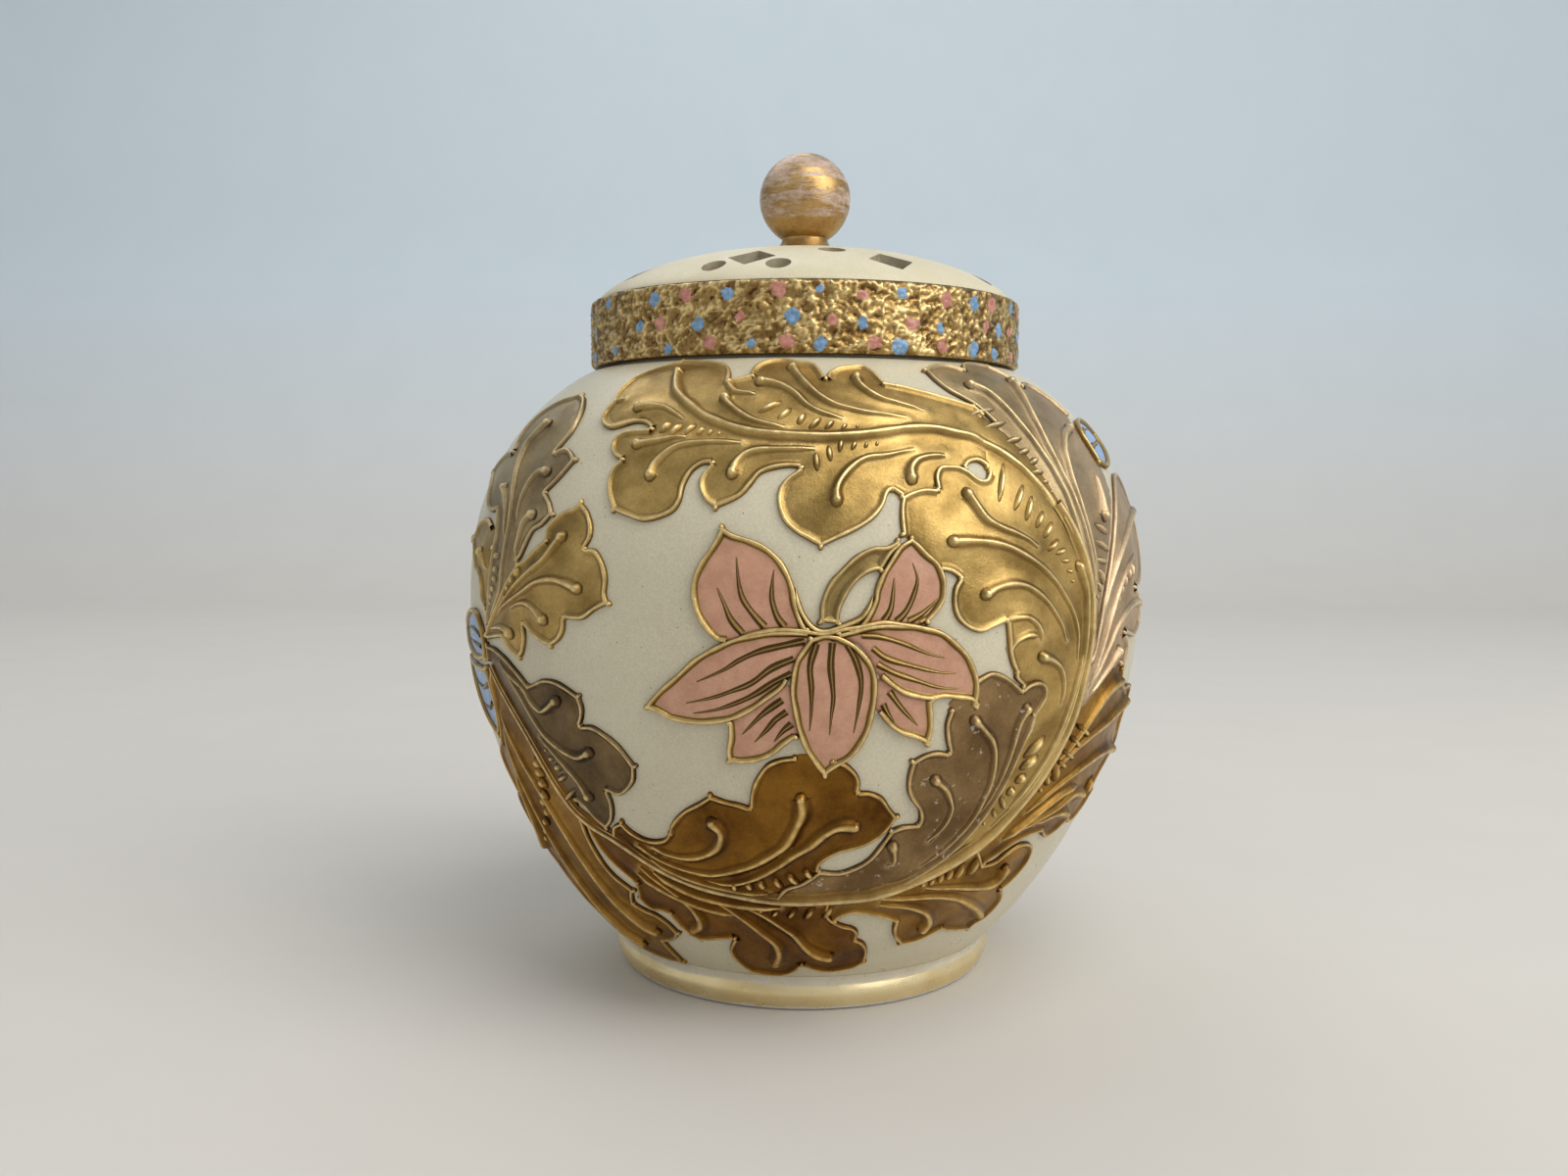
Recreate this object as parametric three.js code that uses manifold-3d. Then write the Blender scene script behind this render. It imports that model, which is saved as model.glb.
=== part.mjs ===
// A lidded globular jar for scented petals, in glazed earthenware with applied relief.
// Units are millimetres, +Z is up and the foot stands on z = 0.
// Azimuth is in degrees from the front (-Y) towards the right (+X).
// A place on the body is [azimuth, climb]: climb runs along the wall from the foot (0) to the neck (100).
import * as THREE from 'three';
import { mergeVertices } from 'three/addons/utils/BufferGeometryUtils.js';
import Module from 'manifold-3d';

const wasm = await Module();
wasm.setup();

// Clearances
const SEAT_GAP = 0.3;          // between two pieces that are stuck or set on each other
const LID_CLEARANCE = 0.6;     // all round the neck, inside the lid
const RELIEF_SPACING = 0.35;   // between neighbouring leaves and petals

// Foot
const FOOT_HEIGHT = 9.7;
const FOOT_R = 54.6;
const FOOT_BULGE = 0.8;
const FOOT_INNER_R = 46.5;
const FOOT_EDGE = 2.2;

// Body
const BODY_R = 96;
const BASE_R = 55;
const BELLY_RISE = 94;         // from the foot to the widest place
const SHOULDER_RISE = 66.5;    // from the widest place to the neck
const SHOULDER_R = 60;
const WALL = 4.5;
const FLOOR = 5;
const UNDERSIDE_HOLLOW = 1.5;
const LOWER_BOW = 1.9;
const LOWER_FULLNESS = 0.9;
const SHOULDER_BOW = 2.5;
const SHOULDER_FULLNESS = 0.8;

// Neck
const NECK_R = 56.7;
const NECK_HEIGHT = 14.2;
const NECK_WALL = 4.4;

// Lid
const BAND_HEIGHT = 18.4;
const BAND_WALL = 4.2;
const BAND_LIFT = 0.8;         // open line between the band and the shoulder
const BAND_ROUNDING = 1.4;
const DOME_RISE = 15.2;
const DOME_WALL = 4;
const DOME_SET_IN = 2;         // from the band's outer face to the dome's
const DOME_FULLNESS = 2.25;
const DOME_CROWN = 0.72;
const FLANGE_R = 51.6;
const FLANGE_WALL = 3.6;
const FLANGE_DROP = 11;

// Knob
const KNOB_R = 13.1;
const KNOB_NECK_R = 6.7;
const KNOB_NECK_HEIGHT = 3.5;
const KNOB_FLARE_R = 8.6;

// Holes through the dome
const HOLE_GROUPS = 4;
const SQUARE_HOLE_TILT = 45;   // degrees
const SQUARE_HOLE_SIDE = 9.4;
const LEFT_SQUARE_TURN = -16.4;  // degrees from the front
const LEFT_SQUARE_SHARE = 0.815; // of the dome's radius
const RIGHT_SQUARE_TURN = 26.5;
const RIGHT_SQUARE_SHARE = 0.84;
const ROUND_HOLE_TURN = 9.3;   // degrees to each side of the left square hole
const ROUND_HOLE_SHARE = 0.905;
const ROUND_HOLE_DIAMETER = 6.6;
const CROWN_HOLE_TURN = 10;
const CROWN_HOLE_SHARE = 0.685;
const CROWN_HOLE_DIAMETER = 7.4;

// Relief
const LEAF_THICK = 1.0;
const PETAL_THICK = 1.3;
const STEM_HALF_WIDTH = 1.3;
const UNITS = 2;               // the ornament of the front is repeated on the back

// Facets
const ROUND_SEGMENTS = 44;
const KNOB_SEGMENTS = 24;
const BODY_RINGS = 11;
const SPLIT_RING = 6;           // of the body's rings, the one at its widest
const INNER_RINGS = 7;
const DOME_RINGS = 7;
const OUTLINE_TOLERANCE = 0.9; // by which a leaf's cut outline may leave the drawn one
const FACET_TOLERANCE = 0.12;

// Heights that follow from the sizes above
const BODY_BOTTOM = FOOT_HEIGHT + SEAT_GAP;
const BELLY_Z = BODY_BOTTOM + BELLY_RISE;
const NECK_Z = BELLY_Z + SHOULDER_RISE;
const COLLAR_TOP = NECK_Z + NECK_HEIGHT;
const BAND_BOTTOM = NECK_Z + BAND_LIFT;
const BAND_TOP = BAND_BOTTOM + BAND_HEIGHT;
const BAND_INNER_R = NECK_R + LID_CLEARANCE;
const BAND_R = BAND_INNER_R + BAND_WALL;
const DOME_BOTTOM = BAND_TOP + SEAT_GAP;
const DOME_R = BAND_R - DOME_SET_IN;
const DOME_TOP = DOME_BOTTOM + DOME_RISE;
const LEDGE_Z = COLLAR_TOP + SEAT_GAP;

// Leaves of the front, each an outline of strokes that meet in its tips and notches.
// A stroke starts where the one before it ends, and the first starts where the last ends.
const TOP_LEAF = [
  [[-39.1, 91.3], [-38.4, 93.6], [-36.4, 95.3], [-33.4, 96.5], [-30.9, 97.5], [-29, 98.4]],
  [[-24.5, 98.1], [-20, 97.4], [-16.8, 96.5], [-15.2, 94.9], [-14.6, 92.8]],
  [[-12.6, 93.3], [-10.7, 93.8]],
  [[-10.9, 95.2], [-9.5, 97], [-6.8, 98], [-4, 98.1], [-1.8, 97.4], [0.6, 97.1], [2.6, 96.2], [4.2, 93.2]],
  [[5, 94.6], [7.2, 95.8], [10.3, 96.3], [12.6, 96.3], [14.2, 95], [15.7, 92.3]],
  [[20, 91.5], [25, 90.2], [29, 89.1], [32.3, 88.2]],
  [[34.5, 85.3], [37.8, 81.6], [40.8, 77.4], [43.6, 72.6]],
  [[42.3, 71.6]],
  [[40.5, 74], [37.6, 76.9], [35, 79.2], [32.4, 80.9], [30.6, 81.7]],
  [[30.2, 80], [29.6, 78.2]],
  [[28.3, 79], [26.6, 78.8], [25.6, 78]],
  [[23.8, 78.6], [21.8, 78.5], [20.3, 77.6], [19.8, 76.2], [19.7, 75.3]],
  [[18, 75.4], [16, 75], [14.3, 74.2]],
  [[13, 75]],
  [[12.3, 74.5], [11.5, 72.9], [9.9, 71.3], [7.9, 70.1], [5.3, 69], [2.4, 67.8]],
  [[0.6, 68.7], [-1.2, 69.6], [-2.8, 71], [-3.7, 73], [-3.7, 75], [-2.6, 76.6], [-0.5, 78]],
  [[-2.4, 78.1], [-4.6, 77.8], [-6.4, 77.1], [-7.6, 75.7], [-9.3, 74], [-12.7, 72.6]],
  [[-14.6, 73.8], [-15.6, 75.6], [-15.4, 77], [-14.1, 78.6]],
  [[-15.6, 78.4], [-17, 77.3], [-17.8, 75.6], [-18, 73.6], [-19, 72.1], [-21.3, 71.1], [-24, 70.8],
    [-26.6, 71.4], [-29.1, 72.1]],
  [[-30.6, 74.2], [-31.3, 76.3], [-31, 78], [-29.9, 79.1]],
  [[-31.6, 79.7], [-33, 81.2], [-32.8, 82.7], [-31.2, 83.6], [-28.8, 83.8], [-26.3, 83.9]],
  [[-28, 84.8], [-30.2, 84.9], [-32.5, 84.4], [-35, 84], [-37.5, 84.9], [-38.8, 86.6], [-38.3, 89]],
];
const SCROLL_LEAF = [
  [[16, 74.9], [18, 75.3], [19.9, 75.2]],
  [[20, 77], [21, 78.3], [22.6, 78.5], [24.4, 78.4], [26, 77.7], [27.3, 76.7], [28.7, 76.6], [29.6, 77.6]],
  [[30.1, 79.8], [30.7, 81.5]],
  [[33.5, 80.2], [36.6, 77.8], [39.8, 74.8], [42.3, 71.6], [44.8, 68], [46.9, 64], [47.9, 60], [47.9, 54],
    [47, 49.4], [45.9, 44], [44, 40], [41.4, 35.8], [37.7, 31.5], [33.5, 27.4], [28, 24.1], [23.5, 22.2]],
  [[26.5, 25], [29.8, 28.4], [32.6, 32.2], [34.6, 35.8], [36, 39.6], [37.2, 43.4]],
  [[38, 45.2], [38.9, 47.7], [38.5, 49.4], [36.9, 50.2], [35, 50.1], [33.6, 49.4]],
  [[32, 50.6], [31.9, 51.4]],
  [[31, 52.8], [30.4, 54.4], [30.2, 56.2], [29.9, 58.1]],
  [[28, 57.5], [25.7, 56.9], [23.4, 57.5], [21.8, 58.8], [21.1, 60.6], [21.3, 62.5], [22.2, 63.8]],
  [[21, 64.5], [19.4, 64.8]],
  [[18.4, 66.4], [16.8, 67.9], [15.3, 68.9], [13.9, 69.3]],
  [[13.8, 71], [13.9, 72.7], [14.3, 74.2]],
];
const BRONZE_LEAF = [
  [[18.8, 31.8], [18.3, 33.2], [17, 34.6], [16, 36.3], [15.8, 38.2], [16.2, 40.4]],
  [[18, 41.3], [20, 41.6], [21.9, 41.3]],
  [[21.2, 43.2], [20.8, 45.2], [21.6, 47.8]],
  [[23.5, 49.8], [25.6, 51.1], [27.6, 51.8], [29.6, 51.4], [31.4, 50.5], [33.5, 49.1]],
  [[34.9, 49.8], [36.8, 50], [38.3, 49.3], [38.7, 47.7], [37.8, 46.3], [36.8, 45.2]],
  [[36.3, 43], [35, 40], [33.6, 36.6], [31.6, 33], [28.9, 29.4], [25.6, 26.4], [21.5, 23.7], [17, 20.8]],
  [[12, 19.3], [6, 18.8], [0, 18.5], [-5, 18.7]],
  [[-3, 20.9], [0, 22], [2.9, 24]],
  [[6.4, 23.8], [9.3, 24.7], [11.4, 26.1], [12.8, 28], [14.2, 30.3]],
  [[16, 30.9], [18.6, 31]],
];
const LOWER_INNER_LEAF = [
  [[-29.8, 28.5], [-27.7, 27.7], [-25.6, 27.5], [-23.5, 28], [-22.3, 29.1]],
  [[-21.8, 30.2], [-20.5, 31.6], [-18.7, 33], [-16.3, 34.2], [-14.1, 35.5]],
  [[-12, 34.9], [-9.8, 34.5], [-8.1, 34]],
  [[-7.8, 36], [-7, 38], [-5.4, 40.1], [-3.3, 41.1], [-1.2, 41.4], [2, 41.3], [4.5, 41], [6.2, 40.5],
    [7.9, 39.2], [8.6, 37.8], [8.5, 36.4]],
  [[10.3, 36.3], [12.3, 35.4], [13.7, 33.8], [15, 32.4]],
  [[14.2, 31], [12.9, 29.5], [10.8, 28.2], [8.5, 27.5], [6.3, 27], [4.4, 26.1], [3.2, 25.1], [2.9, 24]],
  [[1, 22.8], [-2, 21.5], [-5, 20.3], [-6.5, 18.7]],
  [[-12.7, 19.4], [-17, 20], [-20.6, 20.8], [-24.1, 21.9], [-27.7, 23.4], [-31.3, 25.3], [-34.5, 26.8]],
  [[-33.5, 28.8], [-31.3, 29.8]],
];
const LOWER_LEFT_LEAF = [
  [[8.3, 13.6], [10.5, 13], [11.8, 11.9], [11.8, 10.3]],
  [[13.5, 9.5], [14.9, 8], [15.4, 6.2], [15.4, 4.6]],
  [[13.5, 3.4], [10.5, 2.7], [7, 2.4], [3.8, 2.8], [1.8, 3.5], [0.2, 4.2]],
  [[-1.2, 2.8], [-3.2, 1.7], [-6.3, 1.2], [-9.6, 1.3], [-12.9, 1.7]],
  [[-14.9, 3.4], [-16.5, 5.6], [-16.6, 7.4], [-15.5, 9], [-14.6, 10.1]],
  [[-17, 9.7], [-19.9, 9.2], [-22.8, 8.8]],
  [[-24.8, 9.5], [-26.6, 11.2], [-27.6, 12.9], [-28, 13.7]],
  [[-29.8, 14.1], [-31.8, 13.9], [-33.4, 14.7], [-34.4, 15.9]],
  [[-33.8, 17.4], [-33.3, 19]],
  [[-34.8, 20.2], [-37, 21.9], [-38.8, 24.2], [-39.8, 26.6], [-40.2, 28.8]],
  [[-36.5, 27.5], [-31.3, 25.3], [-27.7, 23.4], [-24.1, 21.9], [-20.6, 20.8], [-17, 20], [-12.7, 19.4],
    [-6.3, 18.6], [0, 18.4], [5.5, 18.6]],
  [[5.2, 17.2], [5.3, 15.6], [6.6, 14.4]],
];
const LOWER_RIGHT_LEAF = [
  [[7.8, 15.4], [9.8, 15.9], [12.4, 15.6], [15.3, 14.9], [17.6, 14.1], [19.2, 13.5]],
  [[19.3, 12], [20.2, 10.1], [22.6, 8.2]],
  [[25.3, 8.3], [28.2, 8.9], [31.8, 10.3]],
  [[34.5, 9.5], [38, 9], [41.9, 8.4]],
  [[42.8, 9.5], [44.8, 10], [46.6, 11.4], [47.4, 13.3], [46.6, 15], [44.6, 16.4]],
  [[46.5, 17.7], [48.2, 19.6], [48.7, 21.6], [47.8, 23.5], [45.5, 24.7], [42.5, 24.9], [39.8, 24],
    [37.5, 22.7], [34.8, 22.5]],
  [[33, 24.6], [31.5, 26.1]],
  [[28, 24.1], [22.7, 21.9], [17, 20], [12, 19], [5.5, 18.6]],
  [[5.2, 17.2], [5.3, 15.6], [6.6, 14.4]],
];
const RIGHT_LOWER_LEAF = [
  [[37.5, 24], [40.5, 25.3], [44, 26.1], [47.8, 26.2]],
  [[49.3, 25.2], [51.2, 24.7], [54, 25.3], [57.3, 26.5]],
  [[58.8, 25.8], [61.5, 26], [64.5, 27.5], [67, 30]],
  [[65, 31.5], [66.5, 33.5], [70, 35], [75, 36]],
  [[73, 38], [70, 40.5], [71.6, 43], [73, 45.5]],
  [[69, 46.4], [65, 46.5], [62.5, 47.5]],
  [[61.8, 49.4], [60.5, 50], [58, 49.9], [55.5, 48.9], [52, 46.9], [49.6, 45.6], [46.3, 45]],
  [[44, 40], [41.4, 35.8], [37.7, 31.5], [33.5, 27.4], [31.5, 26.1]],
  [[33, 24.6], [34.8, 22.7]],
];
const RIGHT_MIDDLE_LEAF = [
  [[49.6, 45.6], [52, 46.9], [55.5, 48.9], [58, 49.9], [60.5, 50], [62.2, 49.9]],
  [[63.3, 52.4], [62.4, 53.6], [61, 54.6]],
  [[63.8, 54], [67.5, 53.6], [72, 55]],
  [[72.2, 57], [70.5, 59.3], [67.8, 60.6]],
  [[71, 60.8], [74.5, 62], [77.5, 64.5]],
  [[78.5, 68], [78, 71.5], [80, 73.8]],
  [[77, 76.2], [73, 77.6], [69, 77.2], [65.5, 75.6], [62, 73], [58.5, 69.6], [55, 65.2], [52.3, 60.6],
    [50.4, 56], [49, 52.3], [47.6, 52]],
  [[47, 49.4], [46.3, 45]],
];
const RIGHT_UPPER_LEAF = [
  [[30.4, 89.8], [28.5, 91.1], [27.1, 93], [26.3, 95.6]],
  [[28.5, 96.8], [31.5, 97.5], [34.8, 97.5], [37.6, 96.5]],
  [[39.3, 98], [42, 98.7], [45.5, 98.8], [49.3, 98.3]],
  [[51.3, 96.7], [52.6, 95], [53.4, 93.4]],
  [[56, 94.2], [59, 93], [61.6, 90.8], [63.5, 87.8]],
  [[61.8, 85.3], [60.8, 82.6], [61.4, 80], [63.3, 77.8]],
  [[61.2, 74], [58, 70.4], [54.6, 66], [51.8, 61.2], [49.9, 56.4], [48, 54]],
  [[48.2, 58], [47.8, 62], [46.8, 65.5], [45.2, 69], [43.3, 72.4]],
  [[41.2, 77.2], [38.2, 81.4], [34.9, 85.2], [32.5, 88.3]],
];
const LEFT_GOLD_LEAF = [
  [[-57, 56.6], [-54.2, 59], [-51.4, 62], [-48.4, 64.6]],
  [[-46, 65.5], [-43.8, 66.9], [-41.9, 68]],
  [[-41.9, 69.6], [-40.5, 71], [-38.4, 72], [-36.8, 72.4], [-35.6, 73.2]],
  [[-33.8, 72], [-32.6, 70.3], [-32.4, 68.5], [-33.3, 67.1]],
  [[-31.3, 67], [-29.7, 65.4], [-28.9, 63.3], [-29, 61.4], [-28.5, 60.2]],
  [[-30.8, 59.2], [-33, 58], [-35, 57.8], [-36.7, 57.9]],
  [[-36.9, 56.3], [-38, 54.9], [-39.8, 54]],
  [[-41.8, 54.4], [-43.9, 55.2], [-46.3, 56.5]],
  [[-46, 54.5], [-46.8, 52.6], [-47.9, 51.8]],
  [[-49.5, 52.1], [-51.4, 53], [-53, 54.2]],
  [[-55.5, 53.9], [-58.5, 53.5], [-59.8, 53.9]],
];
const LEFT_GREY_LEAF = [
  [[-58.4, 58], [-58.2, 60.5], [-57.9, 63], [-57.4, 66], [-57.2, 68.5], [-58, 70.4], [-59.2, 71.7]],
  [[-61, 71.4], [-63.7, 71.5], [-66.2, 72.6], [-68.7, 74.7], [-71.2, 76.3], [-74.3, 77.4]],
  [[-71.8, 78.7], [-69, 80], [-66, 80.8], [-63.6, 80.7]],
  [[-65, 82.2], [-65.9, 84.4], [-65.4, 86.2], [-63.3, 87.9], [-60.4, 89.2], [-57, 90.2], [-54, 90.6],
    [-51, 91]],
  [[-48.2, 90], [-46, 88.2], [-44.7, 86.2], [-44.3, 84], [-45, 82], [-46.1, 80.3]],
  [[-44.8, 80.9], [-43, 81], [-41.3, 80.3], [-39.8, 79.2]],
  [[-41, 77.5], [-42.6, 75.9], [-44.4, 74.4]],
  [[-43.4, 73.8], [-42.3, 72.9], [-41.3, 71.4]],
  [[-43.2, 69.9], [-45.2, 69], [-46.4, 67.4], [-47.5, 65.6], [-48.5, 64.9]],
  [[-51.6, 62.2], [-54.6, 59], [-57.4, 56.6], [-59, 55.8]],
];
const LEFT_SMALL_LEAF = [
  [[-61.4, 58.8], [-62.2, 61], [-63.8, 62.4]],
  [[-66, 62.8], [-68.2, 64.6], [-70.5, 66.4], [-73.8, 67]],
  [[-70, 67.9], [-67.8, 69.5], [-65, 70.4], [-62.2, 70.4], [-59.6, 69.5]],
  [[-58.4, 68.6], [-57.9, 66], [-58.2, 63], [-58.6, 60], [-59.6, 57.8]],
];
const LEFT_BRONZE_LEAF = [
  [[-56, 52.4], [-52.6, 51.5], [-49.5, 50.1], [-46.3, 48.2]],
  [[-44.6, 48.7], [-42.4, 49.4], [-39.9, 49.5], [-37.4, 48.9], [-34.7, 47.8]],
  [[-34.2, 46.2], [-34.5, 44.8], [-35.2, 43.7]],
  [[-32.8, 43.8], [-30.3, 42.8], [-28, 41.2], [-26, 38.8]],
  [[-26.6, 36.6], [-28.3, 34.9], [-30.3, 34], [-32.4, 34.5]],
  [[-32.1, 32.6], [-32.7, 30.5], [-33.7, 29.2], [-35.2, 28.2]],
  [[-37.3, 29.5], [-39, 31.2], [-40.6, 32]],
  [[-42, 30.3]],
  [[-44.5, 33.5], [-47, 37.5], [-49.5, 41], [-53, 44.5], [-56.5, 47.5], [-59.6, 50.5]],
  [[-59.6, 52.6]],
];
const LEFT_OUTER_LEAF = [
  [[-56.5, 47.5], [-53, 44.5], [-49.5, 41], [-47, 37.5], [-44.5, 33.5], [-42, 30.3], [-41, 28.8]],
  [[-41, 25.5], [-40.2, 22], [-38.6, 19.5], [-36.2, 18], [-34.9, 17.2]],
  [[-36, 16], [-36.9, 14.4]],
  [[-34.5, 13.5], [-31.8, 12.9], [-29.8, 11.6], [-28.2, 9.5]],
  [[-29.6, 8.1], [-32, 7.1], [-34.6, 6.5]],
  [[-34.4, 5], [-33.6, 3], [-33.4, 1.2]],
  [[-38, 0.9], [-44, 1.2], [-50, 2.2], [-55, 4.5], [-58, 7.5]],
  [[-61.5, 9.5], [-64, 13], [-64.5, 16.5]],
  [[-67, 18], [-69.5, 21], [-70, 24]],
  [[-69, 26.5], [-66.8, 28.6], [-64.5, 29.6]],
  [[-66, 31.6], [-66.8, 34], [-65.8, 36.2], [-62.4, 38]],
  [[-60, 41], [-59.4, 44.5], [-59.9, 47.4], [-58.8, 49]],
];
const FLOWER_STEM = [
  [[2.4, 61], [3.4, 63.3], [5, 65], [7.2, 66.8], [9.5, 67.8], [11.5, 67.9], [13.2, 68.6]],
  [[13.6, 67.9], [12.2, 66.8], [10.7, 64.9]],
  [[9.6, 64.8], [8.4, 64.3], [7, 63.2], [5.9, 61.7], [5.1, 60], [4.9, 58.4]],
  [[2.3, 58.6]],
];
const PETAL_CENTRE = [
  [[2.5, 39.4], [1.4, 40.8], [0.2, 42.6], [-0.7, 44.9], [-1.3, 47.3], [-1.7, 49.6], [-1.6, 51.7],
    [-1.1, 53.8], [-0.2, 55.2], [1, 56.7]],
  [[2.9, 57.2], [4.8, 57]],
  [[6.8, 56.1], [8.3, 54.9], [9.5, 53.5], [10.2, 51.7], [10.3, 49.6], [10, 47], [9.5, 44.9], [8.3, 42.6],
    [6.8, 41], [4.8, 39.9], [3.3, 38.8]],
];
const PETAL_LEFT = [
  [[-22.3, 48], [-20.2, 49.9], [-17.8, 51.7], [-15.2, 53.8], [-12.1, 55.5], [-9, 56.7], [-5.9, 57.3],
    [-3.2, 57.6], [0.6, 57.5]],
  [[0.8, 56.6], [-0.2, 55.2], [-1.3, 53.8], [-1.9, 51.4]],
  [[-2.8, 50.2], [-4.8, 48.8], [-7.1, 47.3], [-9.8, 46.1], [-12.8, 45.5], [-16.3, 45.4], [-19, 45.8],
    [-20.5, 46.4], [-22.7, 47.2]],
];
const PETAL_RIGHT = [
  [[6.8, 57.7], [8.7, 58.2], [11.4, 58.4], [14.5, 58.3], [16.8, 58], [19.5, 57.3], [21.8, 55.8],
    [23.7, 54.1], [25, 52], [25.6, 49.9], [25.4, 47.4]],
  [[24.4, 48.2], [22.2, 48.5], [20.2, 48.8], [18.3, 48.5]],
  [[16.4, 48.8], [14.1, 49.4], [12.2, 50.5], [10.6, 51.7]],
  [[10, 53.2], [9.1, 54.6], [7.9, 56], [4.8, 57.3]],
];
const PETAL_UPPER_LEFT = [
  [[-9.8, 69.4], [-7.5, 68.8], [-5.2, 67.9], [-3.2, 66.4], [-1.9, 64.6], [-1.1, 62.6], [-0.7, 60.5],
    [0, 58.8], [0.6, 57.7]],
  [[-2.8, 57.7], [-5.5, 57.6], [-8, 57.1], [-10.5, 55.9]],
  [[-11.9, 56.2], [-13.6, 57.6], [-14.8, 59.4], [-15.5, 61.7], [-15.3, 63.8], [-14.4, 65.8], [-12.8, 67.9],
    [-11.5, 70.2]],
];
const PETAL_UPPER_RIGHT = [
  [[16.2, 68.2], [17.5, 67], [19.1, 65.7], [20, 63.8], [20, 62.3], [19.8, 61.1], [18.7, 59.6], [17.3, 58.4]],
  [[14.5, 58.5], [11.8, 58.5], [9.5, 58.3], [6.6, 57.7]],
  [[8.1, 58.8], [9.5, 61.1], [9.8, 62.6], [10.6, 64.4], [11.8, 66.1], [13.3, 67.9], [15.2, 68.9]],
];
const PETAL_LOWER_LEFT = [
  [[-10.9, 42], [-10.5, 43.8], [-10.4, 45.8]],
  [[-7.1, 47.3], [-4.8, 48.8], [-1.9, 51]],
  [[-1.7, 49.6], [-1.3, 47.3], [-0.9, 44]],
  [[-2.5, 42.9], [-4, 41.7], [-6.3, 40.7], [-8.6, 40.4], [-10.7, 40.5]],
];
const PETAL_LOWER_RIGHT = [
  [[16.4, 43.5], [14.1, 44.2], [12.2, 45.4], [10.5, 47.2]],
  [[10.3, 49.6], [10.4, 51.6]],
  [[12.2, 50.5], [14.1, 49.4], [16.4, 48.8], [18.3, 48.6]],
  [[18.7, 46.4], [18.8, 44.4], [18.3, 42.7]],
];
const BLUE_PETAL_LEFT_UPPER = [
  [[-60.1, 52.3], [-61, 54.6], [-63, 56.3], [-66, 57.2], [-70, 56.9], [-74.5, 55.4], [-79, 53.5]],
  [[-74, 51.5], [-69, 50.2], [-64.5, 49.9], [-60.4, 50.5]],
];
const BLUE_PETAL_LEFT_LOWER = [
  [[-59.4, 46.5], [-58.9, 43.8], [-59.7, 41], [-62, 38.8]],
  [[-66, 40.2], [-70, 42.5], [-74, 45.5], [-79, 48.9]],
  [[-73, 49.2], [-67, 49], [-60.8, 49.2]],
];
const BLUE_PETAL_RIGHT = [
  [[61.2, 81.5], [61.6, 84], [64, 86], [68, 87], [73, 86.6], [78, 84.5]],
  [[75, 81.5], [70, 79.2], [66, 78.4], [61.7, 79.2]],
];
// Middle line of the long stem, from the blue flower down, along the bottom and up the right side
const SCROLL_STEM_LINE = [
  [-58.6, 49.4], [-56.5, 47.5], [-53, 44.5], [-49.5, 41], [-47, 37.5], [-44.5, 33.5], [-42, 30.3],
  [-38.5, 28.2], [-34.5, 26.8], [-31.3, 25.3], [-27.7, 23.4], [-24.1, 21.9], [-20.6, 20.8], [-17, 20],
  [-12.7, 19.4], [-6.3, 18.6], [0, 18.4], [6, 18.7], [12, 19], [17, 20], [22.7, 21.9], [28, 24.1],
  [33.5, 27.4], [37.7, 31.5], [41.4, 35.8], [44, 40], [45.9, 44], [47, 49.4], [47.9, 54], [48.2, 58],
  [47.8, 62], [46.8, 65.5], [45.2, 69], [43.6, 71.6],
];

// Colours and finishes of the glaze and gilding
const IVORY = { color: 0xd9d3c4, roughness: 0.35, metalness: 0 };
const BRIGHT_GOLD = { color: 0xb9924a, roughness: 0.4, metalness: 0.8 };
const BROWN_GOLD = { color: 0x86591f, roughness: 0.42, metalness: 0.75 };
const BRONZE = { color: 0x6b5b49, roughness: 0.4, metalness: 0.7 };
const PALE_GOLD = { color: 0xb09a7c, roughness: 0.38, metalness: 0.75 };
const ROUGH_GOLD = { color: 0x9b7a3c, roughness: 0.5, metalness: 0.8 };
const PINK = { color: 0xb98478, roughness: 0.4, metalness: 0 };
const BLUE = { color: 0x6f9ad6, roughness: 0.35, metalness: 0 };

// Radius of the body's outer face at a height
function bodyRadius(z) {
  if (z < BELLY_Z) {
    const below = Math.min(1, (BELLY_Z - z) / BELLY_RISE);
    return BASE_R + (BODY_R - BASE_R) * (1 - below ** LOWER_BOW) ** LOWER_FULLNESS;
  }
  const above = Math.min(1, (z - BELLY_Z) / SHOULDER_RISE);
  return SHOULDER_R + (BODY_R - SHOULDER_R) * (1 - above ** SHOULDER_BOW) ** SHOULDER_FULLNESS;
}

// The body's outer line, stepped finely so that places can be measured along it
const WALL_STEPS = 1200;
const wallLine = [];
for (let i = 0; i <= WALL_STEPS; i++) {
  const z = BODY_BOTTOM + (NECK_Z - BODY_BOTTOM) * 0.5 * (1 - Math.cos((Math.PI * i) / WALL_STEPS));
  const r = bodyRadius(z);
  const last = wallLine[i - 1];
  const length = last ? last.length + Math.hypot(r - last.r, z - last.z) : 0;
  wallLine.push({ r, z, length });
}
const WALL_LENGTH = wallLine[WALL_STEPS].length;

// Radius and height of a place along the wall
function wallPlace(climb) {
  const length = (WALL_LENGTH * climb) / 100;
  let i = wallLine.findIndex((step) => step.length >= length);
  i = i < 1 ? (i < 0 ? WALL_STEPS : 1) : i;
  const low = wallLine[i - 1];
  const high = wallLine[i];
  const share = (length - low.length) / (high.length - low.length);
  return { r: low.r + share * (high.r - low.r), z: low.z + share * (high.z - low.z) };
}

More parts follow.
